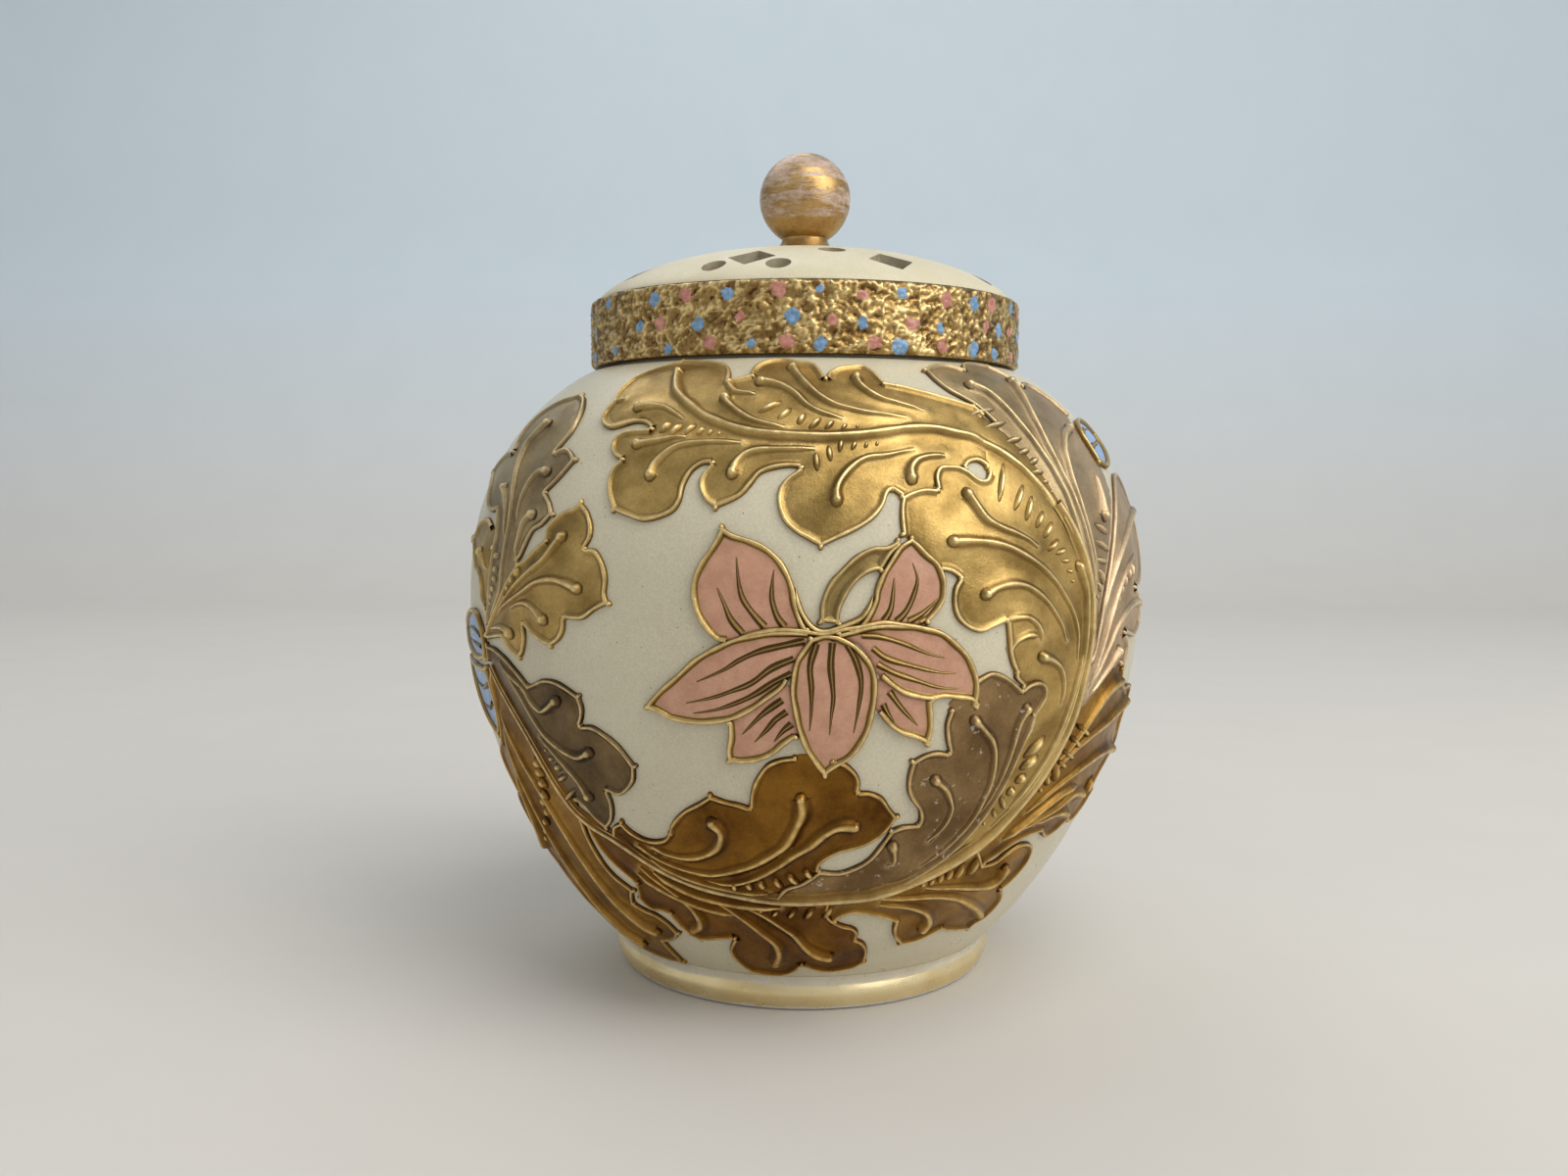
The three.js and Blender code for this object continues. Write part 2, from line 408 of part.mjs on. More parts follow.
// The same place moved out of the wall, square to it
function offWall(climb, out) {
  const NEAR = 0.4;
  const low = wallPlace(Math.max(0, climb - NEAR));
  const high = wallPlace(Math.min(100, climb + NEAR));
  const span = Math.hypot(high.r - low.r, high.z - low.z);
  const place = wallPlace(climb);
  return {
    r: place.r + (out * (high.z - low.z)) / span,
    z: place.z - (out * (high.r - low.r)) / span,
  };
}

// A point in space for [azimuth, climb] at a distance out of the wall
function onBody([azimuth, climb], out) {
  const place = offWall(climb, out);
  const turn = THREE.MathUtils.degToRad(azimuth);
  return [place.r * Math.sin(turn), -place.r * Math.cos(turn), place.z];
}

// A closed solid from a geometry, with shared corners merged and faces turned outwards
function solid(geometry) {
  const bare = new THREE.BufferGeometry();
  bare.setAttribute('position', geometry.getAttribute('position').clone());
  if (geometry.index) bare.setIndex(geometry.index.clone());
  const MERGE = 1e-4;
  const merged = mergeVertices(bare, MERGE);
  const at = merged.getAttribute('position');
  const corners = [];
  let volume = 0;
  const a = new THREE.Vector3();
  const b = new THREE.Vector3();
  const c = new THREE.Vector3();
  for (let i = 0; i < merged.index.count; i += 3) {
    const trio = [merged.index.getX(i), merged.index.getX(i + 1), merged.index.getX(i + 2)];
    if (trio[0] === trio[1] || trio[1] === trio[2] || trio[2] === trio[0]) continue;
    a.fromBufferAttribute(at, trio[0]);
    b.fromBufferAttribute(at, trio[1]);
    c.fromBufferAttribute(at, trio[2]);
    volume += a.dot(b.cross(c));
    corners.push(trio);
  }
  const turned = volume < 0 ? corners.map(([p, q, r]) => [p, r, q]) : corners;
  return new wasm.Manifold(new wasm.Mesh({
    numProp: 3,
    vertProperties: new Float32Array(at.array),
    triVerts: new Uint32Array(turned.flat()),
  }));
}

// A mesh's geometry from a solid
function shape(body) {
  const mesh = body.getMesh();
  const geometry = new THREE.BufferGeometry();
  geometry.setAttribute('position', new THREE.BufferAttribute(new Float32Array(mesh.vertProperties), 3));
  geometry.setIndex(new THREE.BufferAttribute(new Uint32Array(mesh.triVerts), 1));
  return geometry;
}

// A solid turned round the Z axis from a closed line of [radius, height]
function turned(line, segments) {
  const points = line.map(([r, z]) => new THREE.Vector2(r, z));
  const closed = line[0][0] === 0 && line[line.length - 1][0] === 0 ? points : [...points, points[0]];
  const geometry = new THREE.LatheGeometry(closed, segments);
  geometry.rotateX(Math.PI / 2);
  return solid(geometry);
}

// The widest single body of a solid that a cut has left in pieces
function largest(body) {
  return body.decompose().sort((one, other) => other.volume() - one.volume())[0];
}

// Places along the wall at even steps
function climbs(count) {
  return Array.from({ length: count + 1 }, (_, i) => (100 * i) / count);
}

// The wall's outer face from one of the body's rings to another
function outerWall(from, to) {
  return climbs(BODY_RINGS).slice(from, to + 1).map((climb) => {
    const place = wallPlace(climb);
    return [place.r, place.z];
  });
}

// The wall's inner face between two heights, from the top down
function innerWall(from, to) {
  return climbs(INNER_RINGS)
    .map((climb) => offWall(climb, -WALL))
    .filter((place) => place.z > from && place.z < to)
    .map((place) => [place.r, place.z])
    .reverse();
}

// The jar is made as two bodies that meet at the widest ring, so that each is a simple bowl
const SPLIT_CLIMB = (100 * SPLIT_RING) / BODY_RINGS;
const SPLIT_Z = wallPlace(SPLIT_CLIMB).z;
const SPLIT_INNER_R = offWall(SPLIT_CLIMB, -WALL).r;

function jarBody() {
  const floorTop = BODY_BOTTOM + FLOOR + UNDERSIDE_HOLLOW;
  const floorR = wallPlace(0).r - WALL;
  return turned([
    [0, BODY_BOTTOM + UNDERSIDE_HOLLOW],
    [FOOT_INNER_R - WALL, BODY_BOTTOM + UNDERSIDE_HOLLOW],
    [FOOT_INNER_R, BODY_BOTTOM],
    ...outerWall(0, SPLIT_RING),
    [SPLIT_INNER_R, SPLIT_Z],
    ...innerWall(floorTop + WALL, SPLIT_Z - WALL),
    [floorR, floorTop],
    [0, floorTop],
  ], ROUND_SEGMENTS);
}

function jarShoulder() {
  const mouthR = NECK_R - NECK_WALL;
  return turned([
    [wallPlace(SPLIT_CLIMB).r, SPLIT_Z + SEAT_GAP],
    ...outerWall(SPLIT_RING + 1, BODY_RINGS),
    [NECK_R, NECK_Z],
    [NECK_R, COLLAR_TOP],
    [mouthR, COLLAR_TOP],
    [mouthR, NECK_Z - WALL],
    ...innerWall(SPLIT_Z + WALL, NECK_Z - WALL),
    [SPLIT_INNER_R, SPLIT_Z + SEAT_GAP],
  ], ROUND_SEGMENTS);
}

function footRing() {
  return turned([
    [FOOT_INNER_R, 0],
    [FOOT_R - FOOT_EDGE, 0],
    [FOOT_R - FOOT_EDGE / 4, FOOT_EDGE / 3],
    [FOOT_R + FOOT_BULGE, FOOT_HEIGHT * 0.36],
    [FOOT_R + FOOT_BULGE, FOOT_HEIGHT * 0.54],
    [FOOT_R - FOOT_BULGE / 4, FOOT_HEIGHT * 0.8],
    [FOOT_R, FOOT_HEIGHT],
    [FOOT_INNER_R, FOOT_HEIGHT],
  ], ROUND_SEGMENTS);
}

function lidBand() {
  const r = BAND_ROUNDING;
  return turned([
    [BAND_INNER_R, BAND_BOTTOM],
    [BAND_R - r / 2, BAND_BOTTOM],
    [BAND_R, BAND_BOTTOM + r / 2],
    [BAND_R, BAND_TOP - r],
    [BAND_R - r * 0.3, BAND_TOP - r * 0.3],
    [BAND_R - r, BAND_TOP],
    [BAND_INNER_R, BAND_TOP],
  ], ROUND_SEGMENTS);
}

function lidFlange() {
  const innerR = FLANGE_R - FLANGE_WALL;
  const ledgeR = BAND_INNER_R - SEAT_GAP;
  return turned([
    [innerR, LEDGE_Z - FLANGE_DROP],
    [FLANGE_R, LEDGE_Z - FLANGE_DROP],
    [FLANGE_R, LEDGE_Z],
    [ledgeR, LEDGE_Z],
    [ledgeR, BAND_TOP],
    [FLANGE_R, BAND_TOP],
    [innerR, LEDGE_Z],
  ], ROUND_SEGMENTS);
}

// Height of the dome's outer face over its rim, for a radius as a share of its own
function domeHeight(share, rise) {
  return rise * (1 - share ** DOME_FULLNESS) ** DOME_CROWN;
}

// A hole's cutter, set square to the dome at a turn and at a share of its radius
function holeCutter(outline, turn, share) {
  const DEPTH = 8 * DOME_WALL;
  const NEAR = 0.01;
  const geometry = new THREE.ExtrudeGeometry(outline, { depth: DEPTH, bevelEnabled: false, curveSegments: 4 });
  geometry.translate(0, 0, -DEPTH / 2);
  const drop = domeHeight(share - NEAR, DOME_RISE) - domeHeight(share + NEAR, DOME_RISE);
  const slope = Math.atan2(drop, 2 * NEAR * DOME_R);
  const angle = THREE.MathUtils.degToRad(turn);
  geometry.rotateX(slope);
  geometry.translate(0, -share * DOME_R, DOME_BOTTOM + domeHeight(share, DOME_RISE));
  geometry.rotateZ(angle);
  return solid(geometry);
}

function squareOutline() {
  const centre = new THREE.Vector2();
  const tilt = THREE.MathUtils.degToRad(SQUARE_HOLE_TILT);
  const half = SQUARE_HOLE_SIDE / 2;
  const corners = [[-half, -half], [half, -half], [half, half], [-half, half]];
  return new THREE.Shape(corners.map(([x, y]) => new THREE.Vector2(x, y).rotateAround(centre, tilt)));
}

function roundOutline(diameter) {
  return new THREE.Shape().absellipse(0, 0, diameter / 2, diameter / 2, 0, 2 * Math.PI);
}

function lidDome() {
  const outer = [];
  const inner = [];
  const innerR = DOME_R - DOME_WALL;
  for (let i = 0; i <= DOME_RINGS; i++) {
    const share = Math.sin((Math.PI / 2) * (1 - i / DOME_RINGS));
    outer.push([DOME_R * share, DOME_BOTTOM + domeHeight(share, DOME_RISE)]);
    inner.unshift([innerR * share, DOME_BOTTOM + domeHeight(share, DOME_RISE - DOME_WALL)]);
  }
  outer[DOME_RINGS][0] = 0;
  inner[0][0] = 0;
  let dome = turned([...inner, ...outer], ROUND_SEGMENTS);
  for (let group = 0; group < HOLE_GROUPS; group++) {
    const turn = (360 / HOLE_GROUPS) * group;
    const round = roundOutline(ROUND_HOLE_DIAMETER);
    const cutters = [
      holeCutter(squareOutline(), turn + LEFT_SQUARE_TURN, LEFT_SQUARE_SHARE),
      holeCutter(squareOutline(), turn + RIGHT_SQUARE_TURN, RIGHT_SQUARE_SHARE),
      holeCutter(round, turn + LEFT_SQUARE_TURN - ROUND_HOLE_TURN, ROUND_HOLE_SHARE),
      holeCutter(round, turn + LEFT_SQUARE_TURN + ROUND_HOLE_TURN, ROUND_HOLE_SHARE),
      holeCutter(roundOutline(CROWN_HOLE_DIAMETER), turn + CROWN_HOLE_TURN, CROWN_HOLE_SHARE),
    ];
    for (const cutter of cutters) dome = dome.subtract(cutter);
  }
  return dome.simplify(FACET_TOLERANCE);
}

const KNOB_STEM_BOTTOM = DOME_TOP + SEAT_GAP;
const KNOB_STEM_TOP = KNOB_STEM_BOTTOM + KNOB_NECK_HEIGHT;
const KNOB_BOTTOM = KNOB_STEM_TOP + SEAT_GAP;

function knobStem() {
  return turned([
    [0, KNOB_STEM_BOTTOM],
    [KNOB_FLARE_R, KNOB_STEM_BOTTOM],
    [(KNOB_FLARE_R + KNOB_NECK_R) / 2, KNOB_STEM_BOTTOM + KNOB_NECK_HEIGHT * 0.3],
    [KNOB_NECK_R, KNOB_STEM_BOTTOM + KNOB_NECK_HEIGHT * 0.75],
    [KNOB_NECK_R, KNOB_STEM_TOP],
    [0, KNOB_STEM_TOP],
  ], KNOB_SEGMENTS);
}

function knobBall() {
  const RINGS = 10;
  const start = Math.asin(KNOB_NECK_R / KNOB_R);
  const centre = KNOB_BOTTOM + KNOB_R * Math.cos(start);
  const line = [[0, KNOB_BOTTOM]];
  for (let i = 0; i <= RINGS; i++) {
    const angle = start + ((Math.PI - start) * i) / RINGS;
    const r = i === RINGS ? 0 : KNOB_R * Math.sin(angle);
    line.push([r, centre - KNOB_R * Math.cos(angle)]);
  }
  return turned(line, KNOB_SEGMENTS);
}

// A skin that lies on the body, out of which the relief is cut
function skin(thick) {
  const under = climbs(BODY_RINGS).map((climb) => offWall(climb, SEAT_GAP));
  const over = climbs(BODY_RINGS).map((climb) => offWall(climb, SEAT_GAP + thick)).reverse();
  return turned([...under, ...over].map((place) => [place.r, place.z]), ROUND_SEGMENTS);
}

// An outline's points moved out of it, or into it when the distance is negative
function grown(points, distance) {
  const flat = points.map(([azimuth, climb]) => {
    const r = wallPlace(climb).r;
    return new THREE.Vector2(THREE.MathUtils.degToRad(azimuth) * r, (WALL_LENGTH * climb) / 100);
  });
  const SHARPEST = 0.45;
  const way = Math.sign(THREE.ShapeUtils.area(flat));
  return points.map(([azimuth, climb], i) => {
    const r = wallPlace(climb).r;
    const before = flat[(i + flat.length - 1) % flat.length];
    const after = flat[(i + 1) % flat.length];
    const here = flat[i];
    const one = here.clone().sub(before).normalize();
    const two = after.clone().sub(here).normalize();
    const out = new THREE.Vector2(one.y + two.y, -one.x - two.x).multiplyScalar(way);
    const half = Math.max(SHARPEST, out.length() / 2);
    out.setLength(distance / half);
    return [
      azimuth + THREE.MathUtils.radToDeg(out.x / r),
      climb + (100 * out.y) / WALL_LENGTH,
    ];
  });
}

// An outline without the points that lie within the tolerance of a straight line between others
function thinned(points) {
  const flat = points.map(([azimuth, climb]) => new THREE.Vector3(
    THREE.MathUtils.degToRad(azimuth) * wallPlace(climb).r, (WALL_LENGTH * climb) / 100, 0));
  const kept = new Set();
  const walk = (from, to) => {
    let worst = 0;
    let at = -1;
    const line = new THREE.Line3(flat[from], flat[to % flat.length]);
    for (let i = from + 1; i < to; i++) {
      const off = line.closestPointToPoint(flat[i], true, new THREE.Vector3()).distanceTo(flat[i]);
      if (off > worst) {
        worst = off;
        at = i;
      }
    }
    kept.add(from);
    if (worst > OUTLINE_TOLERANCE) {
      walk(from, at);
      walk(at, to);
    }
  };
  const half = Math.floor(points.length / 2);
  walk(0, half);
  walk(half, points.length);
  return points.filter((_, i) => kept.has(i));
}

// A solid that stands through the wall on an outline
function prism(points) {
  const INSIDE = -35;
  const OUTSIDE = 60;
  const outline = points.map(([azimuth, climb]) => new THREE.Vector2(azimuth, Math.min(100, Math.max(0, climb))));
  if (THREE.ShapeUtils.isClockWise(outline)) outline.reverse();
  const count = outline.length;
  const corners = [INSIDE, OUTSIDE].flatMap((out) => outline.flatMap(({ x, y }) => onBody([x, y], out)));
  const faces = [];
  for (const [a, b, c] of THREE.ShapeUtils.triangulateShape(outline, [])) {
    faces.push(a, c, b, a + count, b + count, c + count);
  }
  for (let i = 0; i < count; i++) {
    const j = (i + 1) % count;
    faces.push(i, j, j + count, i, j + count, i + count);
  }
  const geometry = new THREE.BufferGeometry();
  geometry.setAttribute('position', new THREE.BufferAttribute(new Float32Array(corners), 3));
  geometry.setIndex(faces);
  return solid(geometry);
}

// The outline of a stem that runs along a line of [azimuth, climb]
function stemOutline(line, halfWidth) {
  const sides = [[], []];
  line.forEach(([azimuth, climb], i) => {
    const from = line[Math.max(0, i - 1)];
    const to = line[Math.min(line.length - 1, i + 1)];
    const r = wallPlace(climb).r;
    const across = THREE.MathUtils.degToRad(1) * r;
    const along = WALL_LENGTH / 100;
    const way = new THREE.Vector2((to[0] - from[0]) * across, (to[1] - from[1]) * along).normalize();
    sides[0].push([azimuth - (way.y * halfWidth) / across, climb + (way.x * halfWidth) / along]);
    sides[1].unshift([azimuth + (way.y * halfWidth) / across, climb - (way.x * halfWidth) / along]);
  });
  return [...sides[0], ...sides[1]];
}

// The relief of one unit: the pieces that come first lie over the ones after them
const RELIEF = [
  ['petal_centre', PETAL_CENTRE, PINK, PETAL_THICK],
  ['petal_left', PETAL_LEFT, PINK, PETAL_THICK],
  ['petal_right', PETAL_RIGHT, PINK, PETAL_THICK],
  ['petal_upper_left', PETAL_UPPER_LEFT, PINK, PETAL_THICK],
  ['petal_upper_right', PETAL_UPPER_RIGHT, PINK, PETAL_THICK],
  ['petal_lower_left', PETAL_LOWER_LEFT, PINK, PETAL_THICK],
  ['petal_lower_right', PETAL_LOWER_RIGHT, PINK, PETAL_THICK],
  ['blue_petal_left_upper', BLUE_PETAL_LEFT_UPPER, BLUE, PETAL_THICK],
  ['blue_petal_left_lower', BLUE_PETAL_LEFT_LOWER, BLUE, PETAL_THICK],
  ['blue_petal_right', BLUE_PETAL_RIGHT, BLUE, PETAL_THICK],
  ['flower_stem', FLOWER_STEM, BRONZE, LEAF_THICK],
  ['scroll_stem', null, BROWN_GOLD, PETAL_THICK],
  ['left_gold_leaf', LEFT_GOLD_LEAF, BRIGHT_GOLD, LEAF_THICK],
  ['left_bronze_leaf', LEFT_BRONZE_LEAF, BRONZE, LEAF_THICK],
  ['left_grey_leaf', LEFT_GREY_LEAF, BRONZE, LEAF_THICK],
  ['left_small_leaf', LEFT_SMALL_LEAF, BRIGHT_GOLD, LEAF_THICK],
  ['left_outer_leaf', LEFT_OUTER_LEAF, BROWN_GOLD, LEAF_THICK],
  ['bronze_leaf', BRONZE_LEAF, BRONZE, LEAF_THICK],
  ['lower_inner_leaf', LOWER_INNER_LEAF, BROWN_GOLD, LEAF_THICK],
  ['lower_left_leaf', LOWER_LEFT_LEAF, BROWN_GOLD, LEAF_THICK],
  ['lower_right_leaf', LOWER_RIGHT_LEAF, BROWN_GOLD, LEAF_THICK],
  ['scroll_leaf', SCROLL_LEAF, BRIGHT_GOLD, LEAF_THICK],
  ['top_leaf', TOP_LEAF, BRIGHT_GOLD, LEAF_THICK],
  ['right_upper_leaf', RIGHT_UPPER_LEAF, BRONZE, LEAF_THICK],
  ['right_middle_leaf', RIGHT_MIDDLE_LEAF, PALE_GOLD, LEAF_THICK],
  ['right_lower_leaf', RIGHT_LOWER_LEAF, BROWN_GOLD, LEAF_THICK],
];

// The span of an outline in azimuth and climb
function span(points) {
  return new THREE.Box2().setFromPoints(points.map(([azimuth, climb]) => new THREE.Vector2(azimuth, climb)));
}

function reliefPieces() {
  const skins = new Map([LEAF_THICK, PETAL_THICK].map((thick) => [thick, skin(thick)]));
  const pieces = [];
  const over = [];
  for (const [name, strokes, finish, thick] of RELIEF) {
    const drawn = strokes ? strokes.flat() : stemOutline(SCROLL_STEM_LINE, STEM_HALF_WIDTH);
    const outline = thinned(drawn);
    const cutOutline = grown(outline, RELIEF_SPACING / 2);
    const cutSpan = span(cutOutline);
    let piece = skins.get(thick).intersect(prism(grown(outline, -RELIEF_SPACING / 2)));
    for (const other of over) {
      if (other.span.intersectsBox(cutSpan)) piece = piece.subtract(other.cutter);
    }
    over.push({ span: cutSpan, cutter: prism(cutOutline) });
    pieces.push({ name, geometry: shape(largest(piece.simplify(FACET_TOLERANCE))), finish });
  }
  return pieces;
}

const jar = new THREE.Group();
function add(name, geometry, finish, parent = jar) {
  const mesh = new THREE.Mesh(geometry, new THREE.MeshStandardMaterial(finish));
  mesh.name = name;
  parent.add(mesh);
}

add('jar_body', shape(jarBody()), IVORY);
add('jar_shoulder', shape(jarShoulder()), IVORY);
add('foot_ring', shape(footRing()), ROUGH_GOLD);
add('lid_band', shape(lidBand()), ROUGH_GOLD);
add('lid_flange', shape(lidFlange()), IVORY);
add('lid_dome', shape(lidDome()), IVORY);
add('knob_stem', shape(knobStem()), BRIGHT_GOLD);
add('knob_ball', shape(knobBall()), BRIGHT_GOLD);

const UNIT_NAMES = ['front', 'back'];
const relief = reliefPieces();
for (let unit = 0; unit < UNITS; unit++) {
  const side = new THREE.Group();
  side.rotation.z = (2 * Math.PI * unit) / UNITS;
  for (const { name, geometry, finish } of relief) add(`${UNIT_NAMES[unit]}_${name}`, geometry, finish, side);
  jar.add(side);
}

export default jar;
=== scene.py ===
"""A lidded jar in ivory pottery with raised gilt leaves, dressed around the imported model.

Sizes in this file are in millimetres until they reach a mesh, which is in metres.
A place on the body is (azimuth, climb): degrees from the front towards the right, and how far up
the wall from the foot (0) to the neck (100).
"""
import math

import bmesh
import bpy
import numpy as np
from mathutils import Matrix, Vector, noise
from mathutils.geometry import delaunay_2d_cdt


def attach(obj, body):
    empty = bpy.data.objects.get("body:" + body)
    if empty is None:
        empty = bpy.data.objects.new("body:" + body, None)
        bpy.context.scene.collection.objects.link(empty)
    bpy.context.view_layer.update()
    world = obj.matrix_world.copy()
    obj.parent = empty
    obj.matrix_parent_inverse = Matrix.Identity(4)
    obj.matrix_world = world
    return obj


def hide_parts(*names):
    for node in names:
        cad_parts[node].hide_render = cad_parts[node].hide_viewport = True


MM = 0.001

# Without a seed the band's noise starts from the clock and differs from run to run
NOISE_SEED = 7
noise.seed_set(NOISE_SEED)

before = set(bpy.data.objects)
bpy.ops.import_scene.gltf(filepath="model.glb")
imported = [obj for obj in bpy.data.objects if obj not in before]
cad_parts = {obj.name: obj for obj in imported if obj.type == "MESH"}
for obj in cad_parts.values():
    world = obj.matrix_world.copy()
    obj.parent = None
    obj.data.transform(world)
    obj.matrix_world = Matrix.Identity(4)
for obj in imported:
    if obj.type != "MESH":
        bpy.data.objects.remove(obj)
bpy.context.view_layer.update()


def corners(box):
    return [[float(x) for x in corner] for corner in box]


# Foot, body and neck
FOOT_HEIGHT = 9.7
FOOT_R = 54.6
FOOT_INNER_R = 46.5
BODY_BOTTOM = 10.0
BASE_R = 55.0
BODY_R = 96.0
SHOULDER_R = 60.0
BELLY_Z = 104.0
NECK_Z = 170.5
WALL = 4.5
NECK_R = 56.7
MOUTH_R = 52.3
COLLAR_TOP = 184.7
FLOOR_Z = 16.5
UNDERSIDE_Z = 11.5
# How full the wall is below and above the belly: the exponents of its share of the way and of its bulge
LOW_BULGE = (1.9, 0.9)
HIGH_BULGE = (2.5, 0.8)

# Lid
BAND_BOTTOM = 171.3
BAND_TOP = 189.7
BAND_R = 61.5
BAND_INNER_R = 57.3
DOME_BOTTOM = 190.0
DOME_R = 59.5
DOME_RISE = 15.2
DOME_WALL = 4.0
FLANGE_OUTER_R = 51.6
FLANGE_INNER_R = 48.0
LEDGE_R = 57.0
LEDGE_Z = 185.0
FLANGE_BOTTOM = 174.0

# Knob
KNOB_R = 13.1
KNOB_Z = 220.56
KNOB_NECK_R = 6.7
KNOB_FLARE_R = 8.6
KNOB_STEM_BOTTOM = 205.5
KNOB_STEM_TOP = 209.0
KNOB_BOTTOM = 209.3


def read(text):
    """Strokes of (azimuth, climb) points, and whether each has a raised cord along it."""
    strokes = []
    for part in filter(str.strip, text.split(";")):
        numbers = np.array(part.replace("~", " ").split(), float)
        strokes.append((numbers.reshape(-1, 2), "~" not in part))
    return strokes


def drawn(table, name):
    """The points of each of a leaf's lines in a table."""
    return [points for points, _ in read(table.get(name, ""))]


